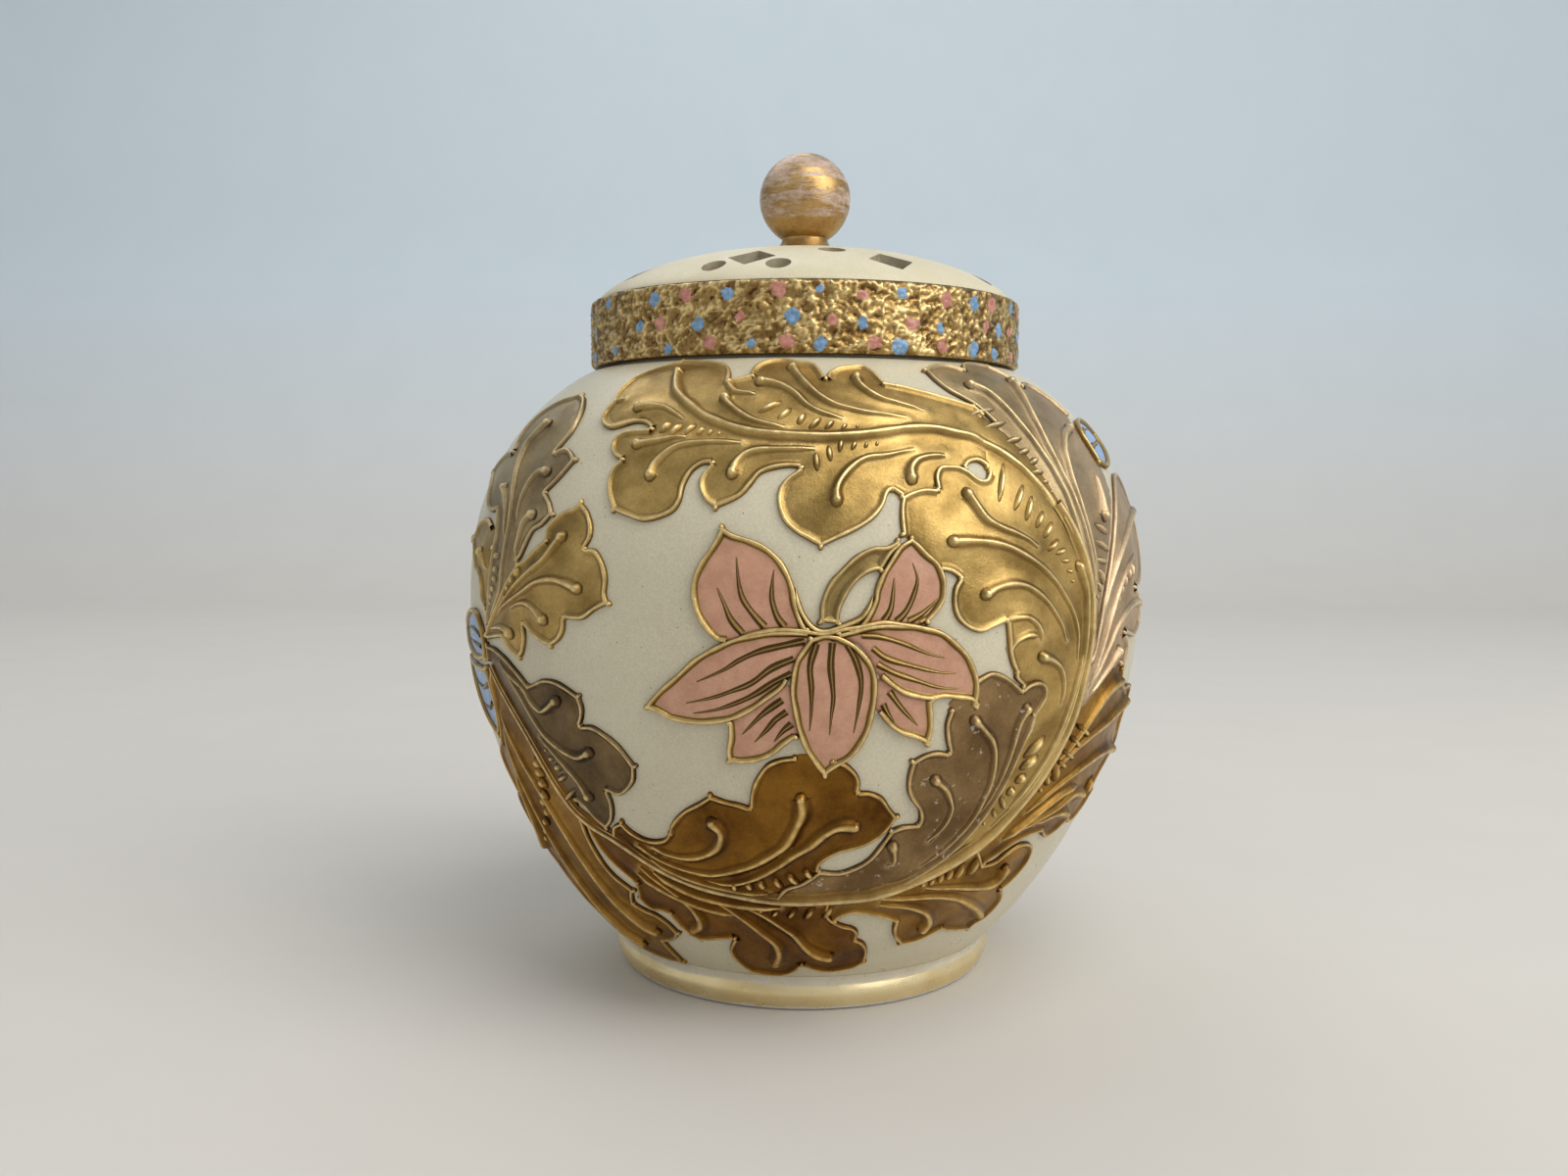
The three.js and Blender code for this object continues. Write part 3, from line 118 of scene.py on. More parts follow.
# Outlines of the front's leaves and petals. Strokes meet in the tips and notches, and each starts
# where the one before it ends. A stroke marked ~ lies under a stem or along a neighbour's cord.
OUTLINES = {
    "top_leaf": """
    -39.1 91.3  -38.4 93.6  -36.4 95.3  -33.4 96.5  -30.9 97.5  -29 98.4;  -24.5 98.1  -20 97.4
    -16.8 96.5  -15.2 94.9  -14.6 92.8;  -12.6 93.3  -10.7 93.8;  -10.9 95.2  -9.5 97  -6.8 98
    -4 98.1  -1.8 97.4  0.6 97.1  2.6 96.2  4.2 93.2;  5 94.6  7.2 95.8  10.3 96.3  12.6 96.3
    14.2 95  15.7 92.3;  20 91.5  25 90.2  29 89.1  32.3 88.2;  33.6 86.6;  ~ 34.5 85.3  37.8 81.6
    40.8 77.4  43.6 72.6;  ~ 42.3 71.6;  ~ 40.5 74  37.6 76.9  35 79.2  32.4 80.9  30.6 81.7;
    ~ 30.2 80  29.6 78.2;  28.3 79  26.6 78.8  25.6 78;  ~ 23.8 78.6  21.8 78.5  20.3 77.6
    19.8 76.2  19.7 75.3;  ~ 18 75.4  16 75  14.3 74.2;  13 75;  12.3 74.5  11.5 72.9  9.9 71.3
    7.9 70.1  5.3 69  2.4 67.8;  0.6 68.7  -1.2 69.6  -2.8 71  -3.7 73  -3.7 75  -2.6 76.6  -0.5 78;
    -2.4 78.1  -4.6 77.8  -6.4 77.1  -7.6 75.7  -9.3 74  -12.7 72.6;  -14.6 73.8  -15.6 75.6
    -15.4 77  -14.1 78.6;  -15.6 78.4  -17 77.3  -17.8 75.6  -18 73.6  -19 72.1  -21.3 71.1
    -24 70.8  -26.6 71.4  -29.1 72.1;  -30.6 74.2  -31.3 76.3  -31 78  -29.9 79.1;  -31.6 79.7
    -33 81.2  -32.8 82.7  -31.2 83.6  -28.8 83.8  -26.3 83.9;  -28 84.8  -30.2 84.9  -32.5 84.4
    -35 84  -37.5 84.9  -38.8 86.6  -38.3 89""",
    "scroll_leaf": """
    16 74.9  18 75.3  19.9 75.2;  20 77  21 78.3  22.6 78.5  24.4 78.4  26 77.7  27.3 76.7
    28.7 76.6  29.6 77.6;  ~ 30.1 79.8  30.7 81.5;  ~ 33.5 80.2  36.6 77.8  39.8 74.8  42.3 71.6
    44.8 68  46.9 64  47.9 60  47.9 54  47 49.4  45.9 44  44 40  41.4 35.8  37.7 31.5  33.5 27.4
    28 24.1  23.5 22.2;  ~ 26.5 25  29.8 28.4  32.6 32.2  34.6 35.8  36 39.6  37.2 43.4;  ~ 38 45.2
    38.9 47.7  38.5 49.4  36.9 50.2  35 50.1  33.6 49.4;  32 50.6  31.9 51.4;  31 52.8  30.4 54.4
    30.2 56.2  29.9 58.1;  28 57.5  25.7 56.9  23.4 57.5  21.8 58.8  21.1 60.6  21.3 62.5
    22.2 63.8;  21 64.5  19.4 64.8;  ~ 18.4 66.4  16.8 67.9  15.3 68.9  13.9 69.3;  13.8 71
    13.9 72.7  14.3 74.2""",
    "bronze_leaf": """
    18.8 31.8  18.3 33.2  17 34.6  16 36.3  15.8 38.2  16.2 40.4;  18 41.3  20 41.6  21.9 41.3;
    21.2 43.2  20.8 45.2  21.3 47;  ~ 21.6 47.8  23.5 49.8  25.2 50.9;  25.6 51.1  27.6 51.8
    29.6 51.4  31.4 50.5  33.5 49.1;  34.9 49.8  36.8 50  38.3 49.3  38.7 47.7  37.8 46.3
    36.8 45.2;  36.3 43  35.2 40  34 36.4  32.2 32.6  29.8 28.8  26.7 25.6  22.6 22.7  17.6 20.1;
    ~ 12 19.3  6 18.8  0 18.5  -5 18.7;  -3 20.9  0 22  2.9 24;  6.4 23.8  9.3 24.7  11.4 26.1
    12.8 28  14.2 30.3;  16 30.9  18.6 31""",
    "lower_inner_leaf": """
    -29.8 28.5  -27.7 27.7  -25.6 27.5  -23.5 28  -22.3 29.1;  -21.8 30.2  -20.5 31.6  -18.7 33
    -16.3 34.2  -14.1 35.5;  -12 34.9  -9.8 34.5  -8.1 34;  -7.8 36  -7 38  -5.4 40.1  -3.3 41.1
    -1.2 41.4;  ~ 2 41.3  4.5 41;  6.2 40.5  7.9 39.2  8.6 37.8  8.5 36.4;  10.3 36.3  12.3 35.4
    13.7 33.8  15 32.4;  14.2 31  12.9 29.5  10.8 28.2  8.5 27.5  6.3 27  4.4 26.1  3.2 25.1
    2.9 24;  ~ 1.9 22.6  -1.2 21.2  -4.1 19.9  -5.3 18.7;  ~ -12.7 19.4  -17 20  -20.6 20.8
    -24.1 21.9  -27.7 23.4  -31.3 25.3  -34.5 26.8;  -33.5 28.8  -31.3 29.8""",
    "lower_left_leaf": """
    8.3 13.6  10.5 13  11.8 11.9  11.8 10.3;  13.5 9.5  14.9 8  15.4 6.2  15.4 4.6;  13.5 3.4
    10.5 2.7  7 2.4  3.8 2.8  1.8 3.5  0.2 4.2;  -1.2 2.8  -3.2 1.7  -6.3 1.2  -9.6 1.3  -12.9 1.7;
    -14.9 3.4  -16.5 5.6  -16.6 7.4  -15.5 9  -14.6 10.1;  -17 9.7  -19.9 9.2  -22.8 8.8;  -24.8 9.5
    -26.6 11.2  -27.6 12.9  -28 13.7;  -29.8 14.1  -31.8 13.9  -33.4 14.7  -34.4 15.9;  -33.8 17.4
    -33.3 19;  -34.8 20.2  -37 21.9  -38.8 24.2  -39.8 26.6  -40.2 28.8;  ~ -36.5 27.5  -31.3 25.3
    -27.7 23.4  -24.1 21.9  -20.6 20.8  -17 20  -12.7 19.4  -6.3 18.6  0 18.4  5.5 18.6;  5.2 17.2
    5.3 15.6  6.6 14.4""",
    "lower_right_leaf": """
    7.8 15.4  9.8 15.9  12.4 15.6  15.3 14.9  17.6 14.1  19.2 13.5;  19.3 12  20.2 10.1  22.6 8.2;
    25.3 8.3  28.2 8.9  31.8 10.3;  34.5 9.5  38 9  41.9 8.4;  42.8 9.5  44.8 10  46.6 11.4
    47.4 13.3  46.6 15  44.6 16.4;  46.5 17.7  48.2 19.6  48.7 21.6  47.8 23.5  45.5 24.7  42.5 24.9
    39.8 24  37.5 22.7  34.8 22.5;  33 24.6  31.5 26.1;  ~ 28 24.1  22.7 21.9  17 20  12 19
    5.5 18.6;  ~ 5.2 17.2  5.3 15.6  6.6 14.4""",
    "right_lower_leaf": """
    37.5 24  40.5 25.3  44 26.1  47.8 26.2;  49.3 25.2  51.2 24.7  54 25.3  57.3 26.5;  58.8 25.8
    61.5 26  64.5 27.5  67 30;  65 31.5  66.5 33.5  70 35  75 36;  73 38  70 40.5  71.6 43  73 45.5;
    69 46.4  65 46.5  62.5 47.5;  61.8 49.4;  ~ 60.5 50  58 49.9  55.5 48.9  52 46.9  49.6 45.6
    46.3 45;  ~ 44 40  41.4 35.8  37.7 31.5  33.5 27.4  31.5 26.1;  ~ 33 24.6  34.8 22.7""",
    "right_middle_leaf": """
    ~ 49.6 45.6  52 46.9  55.5 48.9  58 49.9  60.5 50;  62.2 49.9;  63.3 52.4  62.4 53.6  61 54.6;
    63.8 54  67.5 53.6  72 55;  72.2 57  70.5 59.3  67.8 60.6;  71 60.8  74.5 62  77.5 64.5;
    78.5 68  78 71.5  80 73.8;  77 76.2  73 77.6  69 77.2  65.5 75.6  62 73  58.5 69.6  55 65.2
    52.3 60.6  50.4 56  49 52.3  47.6 52;  ~ 47 49.4  46.3 45""",
    "right_upper_leaf": """
    30.4 89.8  28.5 91.1  27.1 93  26.3 95.6;  28.5 96.8  31.5 97.5  34.8 97.5  37.6 96.5;  39.3 98
    42 98.7  45.5 98.8  49.3 98.3;  51.3 96.7  52.6 95  53.4 93.4;  56 94.2  59 93  61.6 90.8
    63.5 87.8;  ~ 61.8 85.3  60.8 82.6  61.4 80  63.3 77.8;  ~ 61.2 74  58 70.4  54.6 66  51.8 61.2
    49.9 56.4  48 54;  ~ 48.2 58  47.8 62  46.8 65.5  45.2 69  43.3 72.4;  ~ 41.2 77.2  38.2 81.4
    34.9 85.2;  33.7 86.9  32.5 88.3""",
    "left_gold_leaf": """
    -57 56.6  -54.2 59  -51.4 62  -48.4 64.6;  -46 65.5  -43.8 66.9  -41.9 68;  -41.9 69.6  -40.5 71
    -38.4 72  -36.8 72.4  -35.6 73.2;  -33.8 72  -32.6 70.3  -32.4 68.5  -33.3 67.1;  -31.3 67
    -29.7 65.4  -28.9 63.3  -29 61.4  -28.5 60.2;  -30.8 59.2  -33 58  -35 57.8  -36.7 57.9;
    -36.9 56.3  -38 54.9  -39.8 54;  -41.8 54.4  -43.9 55.2  -46.3 56.5;  -46 54.5  -46.8 52.6
    -47.9 51.8;  -49.5 52.1  -51.4 53  -53 54.2;  -55.5 53.9  -58.5 53.5  -59.8 53.9""",
    "left_grey_leaf": """
    -58.4 58  -58.2 60.5  -57.9 63  -57.4 66  -57.2 68.5  -58 70.4  -59.2 71.7;  -61 71.4
    -63.7 71.5  -66.2 72.6  -68.7 74.7  -71.2 76.3  -74.3 77.4;  -71.8 78.7  -69 80  -66 80.8
    -63.6 80.7;  -65 82.2  -65.9 84.4  -65.4 86.2  -63.3 87.9  -60.4 89.2  -57 90.2  -54 90.6
    -51 91;  -48.2 90  -46 88.2  -44.7 86.2  -44.3 84  -45 82  -46.1 80.3;  -44.8 80.9  -43 81
    -41.3 80.3  -39.8 79.2;  -41 77.5  -42.6 75.9  -44.4 74.4;  -43.4 73.8  -42.3 72.9  -41.3 71.4;
    -43.2 69.9  -45.2 69  -46.4 67.4  -47.5 65.6  -48.5 64.9;  ~ -51.6 62.2  -54.6 59  -57.4 56.6
    -59 55.8""",
    "left_small_leaf": """
    -61.4 58.8  -62.2 61  -63.8 62.4;  -66 62.8  -68.2 64.6  -70.5 66.4  -73.8 67;  -70 67.9
    -67.8 69.5  -65 70.4  -62.2 70.4  -59.6 69.5;  ~ -58.4 68.6  -57.9 66  -58.2 63  -58.6 60
    -59.6 57.8""",
    "left_bronze_leaf": """
    -56 52.4  -52.6 51.5  -49.5 50.1  -46.3 48.2;  -44.6 48.7  -42.4 49.4  -39.9 49.5  -37.4 48.9
    -34.7 47.8;  -34.2 46.2  -34.5 44.8  -35.2 43.7;  -32.8 43.8  -30.3 42.8  -28 41.2  -26 38.8;
    -26.6 36.6  -28.3 34.9  -30.3 34  -32.4 34.5;  -32.1 32.6  -32.7 30.5  -33.7 29.2  -35.2 28.2;
    -37.3 29.5  -39 31.2  -40.6 32;  ~ -42 30.3;  ~ -44.5 33.5  -47 37.5  -49.5 41  -53 44.5
    -56.5 47.5  -59.6 50.5;  -59.6 52.6""",
    "left_outer_leaf": """
    ~ -56.5 47.5  -53 44.5  -49.5 41  -47 37.5  -44.5 33.5  -42 30.3  -41 28.8;  -41 25.5  -40.2 22
    -38.6 19.5  -36.2 18  -34.9 17.2;  -36 16  -36.9 14.4;  -34.5 13.5  -31.8 12.9  -29.8 11.6
    -28.2 9.5;  -29.6 8.1  -32 7.1  -34.6 6.5;  -34.4 5  -33.6 3  -33.4 1.2;  -38 0.9  -44 1.2
    -50 2.2  -55 4.5  -58 7.5;  -61.5 9.5  -64 13  -64.5 16.5;  -67 18  -69.5 21  -70 24;  -69 26.5
    -66.8 28.6  -64.5 29.6;  -66 31.6  -66.8 34  -65.8 36.2  -62.4 38;  -60 41  -59.4 44.5
    -59.9 47.4  -58.8 49""",
    "flower_stem": """
    2.4 61  3.4 63.3  5 65  7.2 66.8  9.5 67.8  11.5 67.9  13.2 68.6;  13.6 67.9  12.2 66.8
    10.7 64.9;  9.6 64.8  8.4 64.3  7 63.2  5.9 61.7  5.1 60  4.9 58.4;  2.3 58.6""",
    "petal_centre": """
    2.5 39.4  1.4 40.8  0.2 42.6  -0.7 44.9  -1.3 47.3  -1.7 49.6  -1.6 51.7  -1.1 53.8  -0.2 55.2
    1 56.7;  2.9 57.2  4.8 57;  6.8 56.1  8.3 54.9  9.5 53.5  10.2 51.7  10.3 49.6  10 47  9.5 44.9
    8.3 42.6  6.8 41  4.8 39.9  3.3 38.8""",
    "petal_left": """
    -22.3 48  -20.2 49.9  -17.8 51.7  -15.2 53.8  -12.1 55.5  -9 56.7  -5.9 57.3  -3.2 57.6
    0.6 57.5;  ~ 0.8 56.6  -0.2 55.2  -1.3 53.8  -1.9 51.4;  -2.8 50.2  -4.8 48.8  -7.1 47.3
    -9.8 46.1  -12.8 45.5  -16.3 45.4  -19 45.8  -20.5 46.4  -22.7 47.2""",
    "petal_right": """
    6.8 57.7  8.7 58.2  11.4 58.4  14.5 58.3  16.8 58  19.5 57.3  21.8 55.8  23.7 54.1  25 52
    25.6 49.9  25.4 47.4;  24.4 48.2  22.2 48.5  20.2 48.8  18.3 48.5;  16.4 48.8  14.1 49.4
    12.2 50.5  10.6 51.7;  ~ 10 53.2  9.1 54.6  7.9 56  4.8 57.3""",
    "petal_upper_left": """
    -9.8 69.4  -7.5 68.8  -5.2 67.9  -3.2 66.4  -1.9 64.6  -1.1 62.6  -0.7 60.5  0 58.8  0.6 57.7;
    ~ -2.8 57.7  -5.5 57.6  -8 57.1  -10.5 55.9;  -11.9 56.2  -13.6 57.6  -14.8 59.4  -15.5 61.7
    -15.3 63.8  -14.4 65.8  -12.8 67.9  -11.5 70.2""",
    "petal_upper_right": """
    16.2 68.2  17.5 67  19.1 65.7  20 63.8  20 62.3  19.8 61.1  18.7 59.6  17.3 58.4;  ~ 14.5 58.5
    11.8 58.5  9.5 58.3  6.6 57.7;  8.1 58.8  9.5 61.1  9.8 62.6  10.6 64.4  11.8 66.1  13.3 67.9
    15.2 68.9""",
    "petal_lower_left": """
    -10.9 42  -10.5 43.8  -10.4 45.8;  ~ -7.1 47.3  -4.8 48.8  -1.9 51;  ~ -1.7 49.6  -1.3 47.3
    -0.9 44;  -2.5 42.9  -4 41.7  -6.3 40.7  -8.6 40.4  -10.7 40.5""",
    "petal_lower_right": """
    16.4 43.5  14.1 44.2  12.2 45.4  10.5 47.2;  ~ 10.3 49.6  10.4 51.6;  ~ 12.2 50.5  14.1 49.4
    16.4 48.8  18.3 48.6;  18.7 46.4  18.8 44.4  18.3 42.7""",
    "blue_petal_left_upper": """
    -60.1 52.3  -61 54.6  -63 56.3  -66 57.2  -70 56.9  -74.5 55.4  -79 53.5;  -74 51.5  -69 50.2
    -64.5 49.9  -60.4 50.5""",
    "blue_petal_left_lower": """
    -59.4 46.5  -58.9 43.8  -59.7 41  -62 38.8;  -66 40.2  -70 42.5  -74 45.5  -79 48.9;  -73 49.2
    -67 49  -60.8 49.2""",
    "blue_petal_right": """
    61.2 81.5  61.6 84  64 86  68 87  73 86.6  78 84.5;  75 81.5  70 79.2  66 78.4  61.7 79.2""",
}

STEM_HALF_WIDTH = 1.3
STEM_TIP = (42.4, 73.2)
STEM_LINE = read("""
    -58.6 49.4  -56.5 47.5  -53 44.5  -49.5 41  -47 37.5  -44.5 33.5  -42 30.3  -38.5 28.2
    -34.5 26.8  -31.3 25.3  -27.7 23.4  -24.1 21.9  -20.6 20.8  -17 20  -12.7 19.4  -6.3 18.6
    0 18.4  6 18.7  12 19  17 20  22.7 21.9  28 24.1  33.5 27.4  37.7 31.5  41.4 35.8  44 40
    45.9 44  47 49.4  47.9 54  48.2 58  47.8 62  46.8 65.5  45.2 69  43.6 71.6""")[0][0]

# Veins, each from its round end to where it thins out
VEINS = {
    "top_leaf": """
    -26.6 94.4  -25.6 92.4  -24.1 90.3  -22 88.7  -19.9 87.4  -17 85.7  -14.1 84.6  -10.6 83.5
    -6.3 82.8  0.3 82.4  4.9 82.4  10.3 82.8  17.4 83.7  21.7 83.7  25.3 83.1  28.9 82.4  32.4 80.9
    35.3 79.1  38.4 76.6  40.7 74.4  42.2 72.4;  -30.6 87.4  -28.1 87.6  -25.2 87.3  -22.7 86.3
    -20.6 85.3;  -27.4 81.3  -25.9 81.5  -23.4 81.9  -21.3 82.3  -19.1 82.4;  -23.6 76.9  -23.3 78.2
    -22 79.7  -20.2 80.9  -17.7 81.4  -14.1 81.6  -9.9 81.5;  -10.6 77.2  -10.2 78.4  -9.1 79.6
    -7.4 80.3  -4.5 80.5  1.7 80.6;  -14.6 92.1  -13.4 90.6  -12 89.9  -8.8 89.6;  -14.1 88.8
    -13.4 87.9  -10.9 86.2  -8.4 85  -5.6 84.3  -3.1 83.8;  -8.1 91.9  -5.9 91.6  -3.8 90.9
    -1.6 89.6  0.6 87.5  3.1 86.2  6.4 85.3;  -2.4 95.1  -1.1 93.2  0.6 91.2  2.8 89.1  5.3 87.6
    8.1 86.8  11.4 86.2  17.4 85.6;  10.1 92.9  10.3 91.5  11.7 90  13.9 88.7  16 88.1  21 86.8;
    4.7 73.7  4.75 75  5.6 76.5  7.4 78.2  9.6 79.3  12.8 79.7  17.4 80.6;  16.1 76.6  16.2 77.8
    17.4 79  19.6 79.6  22.4 79.8""",
    "scroll_leaf": """
    24.7 74.4  25.7 73  27.2 71.2  29.5 70.1  31.8 69.4  34.2 68.5  36.1 67.5;  21.5 68.4  24.2 68.4
    27.2 68.2  30.3 67.6  33.4 66.4  36.5 64.8  39.2 62.8  41.5 60.5  43.4 58  44.3 55.5  44.7 52.3;
    26.3 61.75  28 62.5  30.7 62.9  33.4 62.5  36.1 61.2  38.4 59.4  40.3 57.3  41.7 55.1;
    36.8 53.2  38.8 52.6  40.7 51.4  41.8 49.4  42 46.6;  44.9 64.5  46.2 61.5  46.4 58  46.2 54
    45.4 49.5  44.2 45  42.4 40.8  40 36.8  36.8 32.8  33 29.2""",
    "bronze_leaf": """
    25.5 45.5  27.2 44.1  29 42.3  29.9 39.8  30.1 36.9  29.5 34.1  28.4 31.2  26.8 29  24.3 26.5
    21 24;  20.3 37.6  22.2 36.2  23.4 34.4  23.9 33  23.3 30.8  21 28.3;  34.5 46.4  33.4 44.8
    33 42.3  32.6 39.4  31.8 36.2  30.3 32.3;  15 27.75  15.4 26.5  15.6 25.4  14.75 24.5""",
    "lower_inner_leaf": """
    -14.1 31.6  -12.9 30.4  -13.1 28.9  -14.1 27.5  -16.3 26.3  -19.1 25.6  -22.7 25.7  -26.3 26.3;
    -0.2 35.6  0 33.6  -0.9 31.5  -2.3 29  -4.1 27.5  -7.7 25.4  -11.3 24.1  -14.9 23.2  -17.4 23.1
    -22 23.8  -26.3 25.1  -29.1 26.3;  8.1 31.5  5.6 31.5  3.5 30.4  1.4 28.6  -1.5 26.9  -4 25.1
    -8 22.9  -12.5 21.6  -18 21.8""",
    "lower_left_leaf": """
    -22.7 11.9  -20.9 12.8  -20.6 14.5  -21.6 16.6  -23.8 18.6  -26.6 20.4  -30.2 22.5;  -5.9 5.7
    -4.9 8.1  -5.6 10.4  -8.1 12.5  -11.3 15.1  -14.9 17.5  -18.4 18.9;  6 7.2  3.9 7.6  1.4 9
    -1.5 12.2  -3.4 13.6  -7.7 16.3  -12.4 18.2""",
    "lower_right_leaf": """
    40.8 21.1  40.2 19.4  38.1 18.6  33.5 19  28.5 19.7  23.1 20.1;  40.6 12.6  38.5 14  35.6 15.4
    31.4 17.2  26.4 18.3  21 18.6  14.75 18.6;  26 11.9  26.6 13.3  25.2 15.1  22.7 16.3  19.3 17.2
    14.75 17.6""",
    "left_bronze_leaf": """
    -39.5 46.7  -41.6 45.5  -43.3 45  -45.3 45.9  -47.4 47.5  -49.9 48.6  -54.5 50.5;  -34.3 40
    -36.6 39.2  -39.1 39.6  -41.6 40.5  -43.7 41.7  -45.75 43.6  -48.7 46.7  -52 49;  -36.6 33.4
    -37.8 35.5  -40.3 37.5  -42.8 39.4  -45.3 40.9""",
    "left_gold_leaf": """
    -37.9 68.4  -39.3 67.1  -41.4 65.3  -44.3 63.8  -47.7 61.9  -51 59.8  -55.2 57.5;  -34.1 61.9
    -36.4 62.5  -39.3 62.8  -42.7 62.3  -46 60.9  -50.2 59.2  -55.2 56.9;  -41 57.5  -43.1 58.8
    -45.2 59.4  -47.3 59.2  -49.3 58.6;  -49.75 55  -51.4 55.5  -53.9 55.5  -57.25 55""",
    "left_grey_leaf": """
    -53.9 85  -56.4 82.1  -56 79  -54.75 76.3  -53.1 73.2  -52 70.2  -52 67.1  -52.7 63.2
    -53.9 60.2  -57.7 56.7;  -45.6 77.3  -47.7 77.1  -49.3 75.5  -50.2 73.2  -50 70.2;  -46 71.2
    -47.7 70.2  -48.5 67.8  -49.3 65.5;  -57.7 74.8  -55.6 73.2  -53.9 70.9  -52.9 67.8""",
    "left_small_leaf": "-62.25 65.5  -60.6 64.6  -59.3 63.2",
    "left_outer_leaf": """
    -34 9.5  -37 10.5  -41 13.5  -43.5 17.5  -45.5 22  -47.5 27  -50 32  -54 38  -57.5 43;  -43 5
    -47 7  -50.5 11  -52.5 16  -54 21.5  -55.5 28  -57 34  -58.5 40;  -62 21  -60.5 24  -59.5 28
    -59.3 33""",
    "right_upper_leaf": """
    34.4 92  37 90.8  38.6 89  39.8 86.2  41 83.3  42.25 80.35  43.75 76.86  45 73.38  46 69.53
    47.25 65.8  48 62.44  48.4 58.96  48.6 56.1;  48.9 93.5  47.6 90.6  45.75 86.81  44.9 82.46
    45.25 78.23  46.25 74.5  47.25 70.65  48.25 66.67  49 63.18  49.4 59.5;  56.25 84.6  52.2 83.2
    49.2 80.6  47.8 76.9  47.9 73.3  48.5 69.53  49.2 66  49.7 62.5;  54.8 71.25  55.6 73.3
    56.8 77.3""",
    "right_middle_leaf": """
    76.5 71.6  70.5 70.8  64.75 69.15  58.5 65.67  54.5 62.07  51.75 57.96  49.75 53.73  48.6 50.4;
    70.2 58.2  65.8 58.6  61.5 58.09  56.75 56.1  53.25 52.86  50.9 50.2  48.8 47.8;  57.5 52.4
    54.6 50.5  51.75 48.6  49.4 46.9""",
    "right_lower_leaf": """
    56.8 31.25  52.9 31.9  49 30.4  44.5 29.2  40.6 27.9;  53 28.7  50.6 29.2  47.5 29  44.5 28.3;
    66 37  60.6 37.4  55.75 36.9  49.5 35.3  44.25 33.2  40.2 30.7;  66.5 44.2  61.5 43.2  56.8 42
    52 40.8  47.5 39  43.6 36.6;  60 47.9  57.2 47.5  54 46  51 43.7  47.8 40.9  44.8 38.2""",
}

# Ribs of the petals, each from its thick foot to its thin tip
RIBS = {
    "petal_upper_left": """
    -8.2 57.1  -9.8 58.8  -10.8 60.8  -11.8 62.7;  -5.2 58  -6.8 59.6  -8.2 61.4  -8.8 63.4
    -9.2 66.5;  -2.5 58  -3.5 59.3  -4.2 61.3  -4.2 63.3  -4 65""",
    "petal_upper_right": """
    11 58.7  11.8 59.8  12.2 61.2  12.5 64;  12.8 58.6  14 59.7  15 61.3  15.8 63.7  15.2 65.8;
    14.5 58.6  16 59.3  17.5 60.3  18.8 61.3;  16.2 58.5  17.5 59.1  19 60.1""",
    "petal_left": """
    0.2 56.3  -2.8 55.7  -5.8 55  -8.5 53.9  -11 52.5  -14.8 50.9;  -1.2 54.1  -4.2 52.9  -7 51
    -9.8 49.9  -12.5 49  -16.5 48.1;  -1.5 52.2  -3.8 51.2  -6.5 49.6  -9.2 48.4  -12.2 47.4
    -15.5 46.8""",
    "petal_right": """
    8 57  10.5 56.8  13.8 55.9  17.2 54.6  20 53.9;  9.5 55.4  11.5 54.1  15 53.1  18.8 52.2
    21.8 51.9;  10.2 53.4  12.8 52.2  16.2 51.1  19.2 50.2  22.2 49.9""",
    "petal_centre": """
    1.8 56  1 53.2  1.2 50.4  1.2 47.6  1 44.9;  4 56.1  3.8 53.2  4.2 49.4  4 47  3.8 44.4;
    5.8 56.2  7.2 53.9  8 51.2  7.8 48.3  7.2 44.6""",
    "petal_lower_left": """
    -2.8 48.9  -5.2 47.3  -6.8 45.9  -8.5 44.3;  -2.2 47.4  -3.8 46.3  -5 45  -6.8 43.3;  -1.5 45.8
    -2.8 44.8  -4 43.4""",
    "petal_lower_right": """
    12 49.9  14 47.6  16.5 45.3;  11.2 48.3  12 47  13 45.9""",
    "blue_petal_left_upper": "-62.5 53.6  -66 54.2  -70 54.2  -75 53.6;  -62.5 52  -67 52.2  -72 52.4",
    "blue_petal_left_lower": "-61 46.8  -65 45.8  -70 46.2  -75 47.6;  -61.2 44  -64 42.8  -68 43.2",
    "blue_petal_right": "62.8 81.6  66 82.2  70 82.6  75 83.6;  63.4 84  67 85  71 85",
}

# Ridges where the petals meet, drawn over all of them
RIDGES = {
    "petal_centre": """
    -10.8 55.5  -8.5 56.6  -6.5 57.2  -4.2 57.6  -2.2 57.7  0.2 57.5  2.8 57.2  5.2 57.7  8 58.1
    10.5 58.5  12 58.5  13.8 58.2  16 57.9  19 57.6;  -1 62.8  -0.7 61  0.1 59.4  1.3 58  2.8 57.5
    5.2 58.1  7.8 59.1  9 60.5  9.5 61.8""",
}

# Plain lines of slip laid on a leaf
LINES = {
    "top_leaf": "-37.6 89.4  -36.6 88.9  -35.4 89.2",
    "scroll_leaf": """
    29.5 58.1  31 58.5  32.5 58.6  33.75 58.46  35.25 57.6  36 56.6  36.25 55.4;  30.75 53.86
    31 54.85  32 55.72  33.75 56.22  35.5 56.1;  46.2 62.5  46.7 58  46.5 53.5  45.6 49  44.4 44.5
    42.4 39.6  39.6 35  36 30.8;  46 54  45 49.6  43.8 45.6  42 41  39.2 36.4  35.6 32""",
    "lower_left_leaf": """
    -31 21.5  -25.5 18.9  -19 16.9  -12 15.9;  -27.5 22  -20.5 19.2  -12.7 17.9  -4 17.4""",
    "lower_inner_leaf": "-27 24.4  -20.5 22  -12.7 20.6  -6 20",
    "right_lower_leaf": "53 33.2  48.5 32.7  44 31  40 28.9  36.5 26.9",
    "right_middle_leaf": "66.5 65.5  61 63.6  56.6 60.4  53.4 56.6  51 52.4  49 48.6",
}

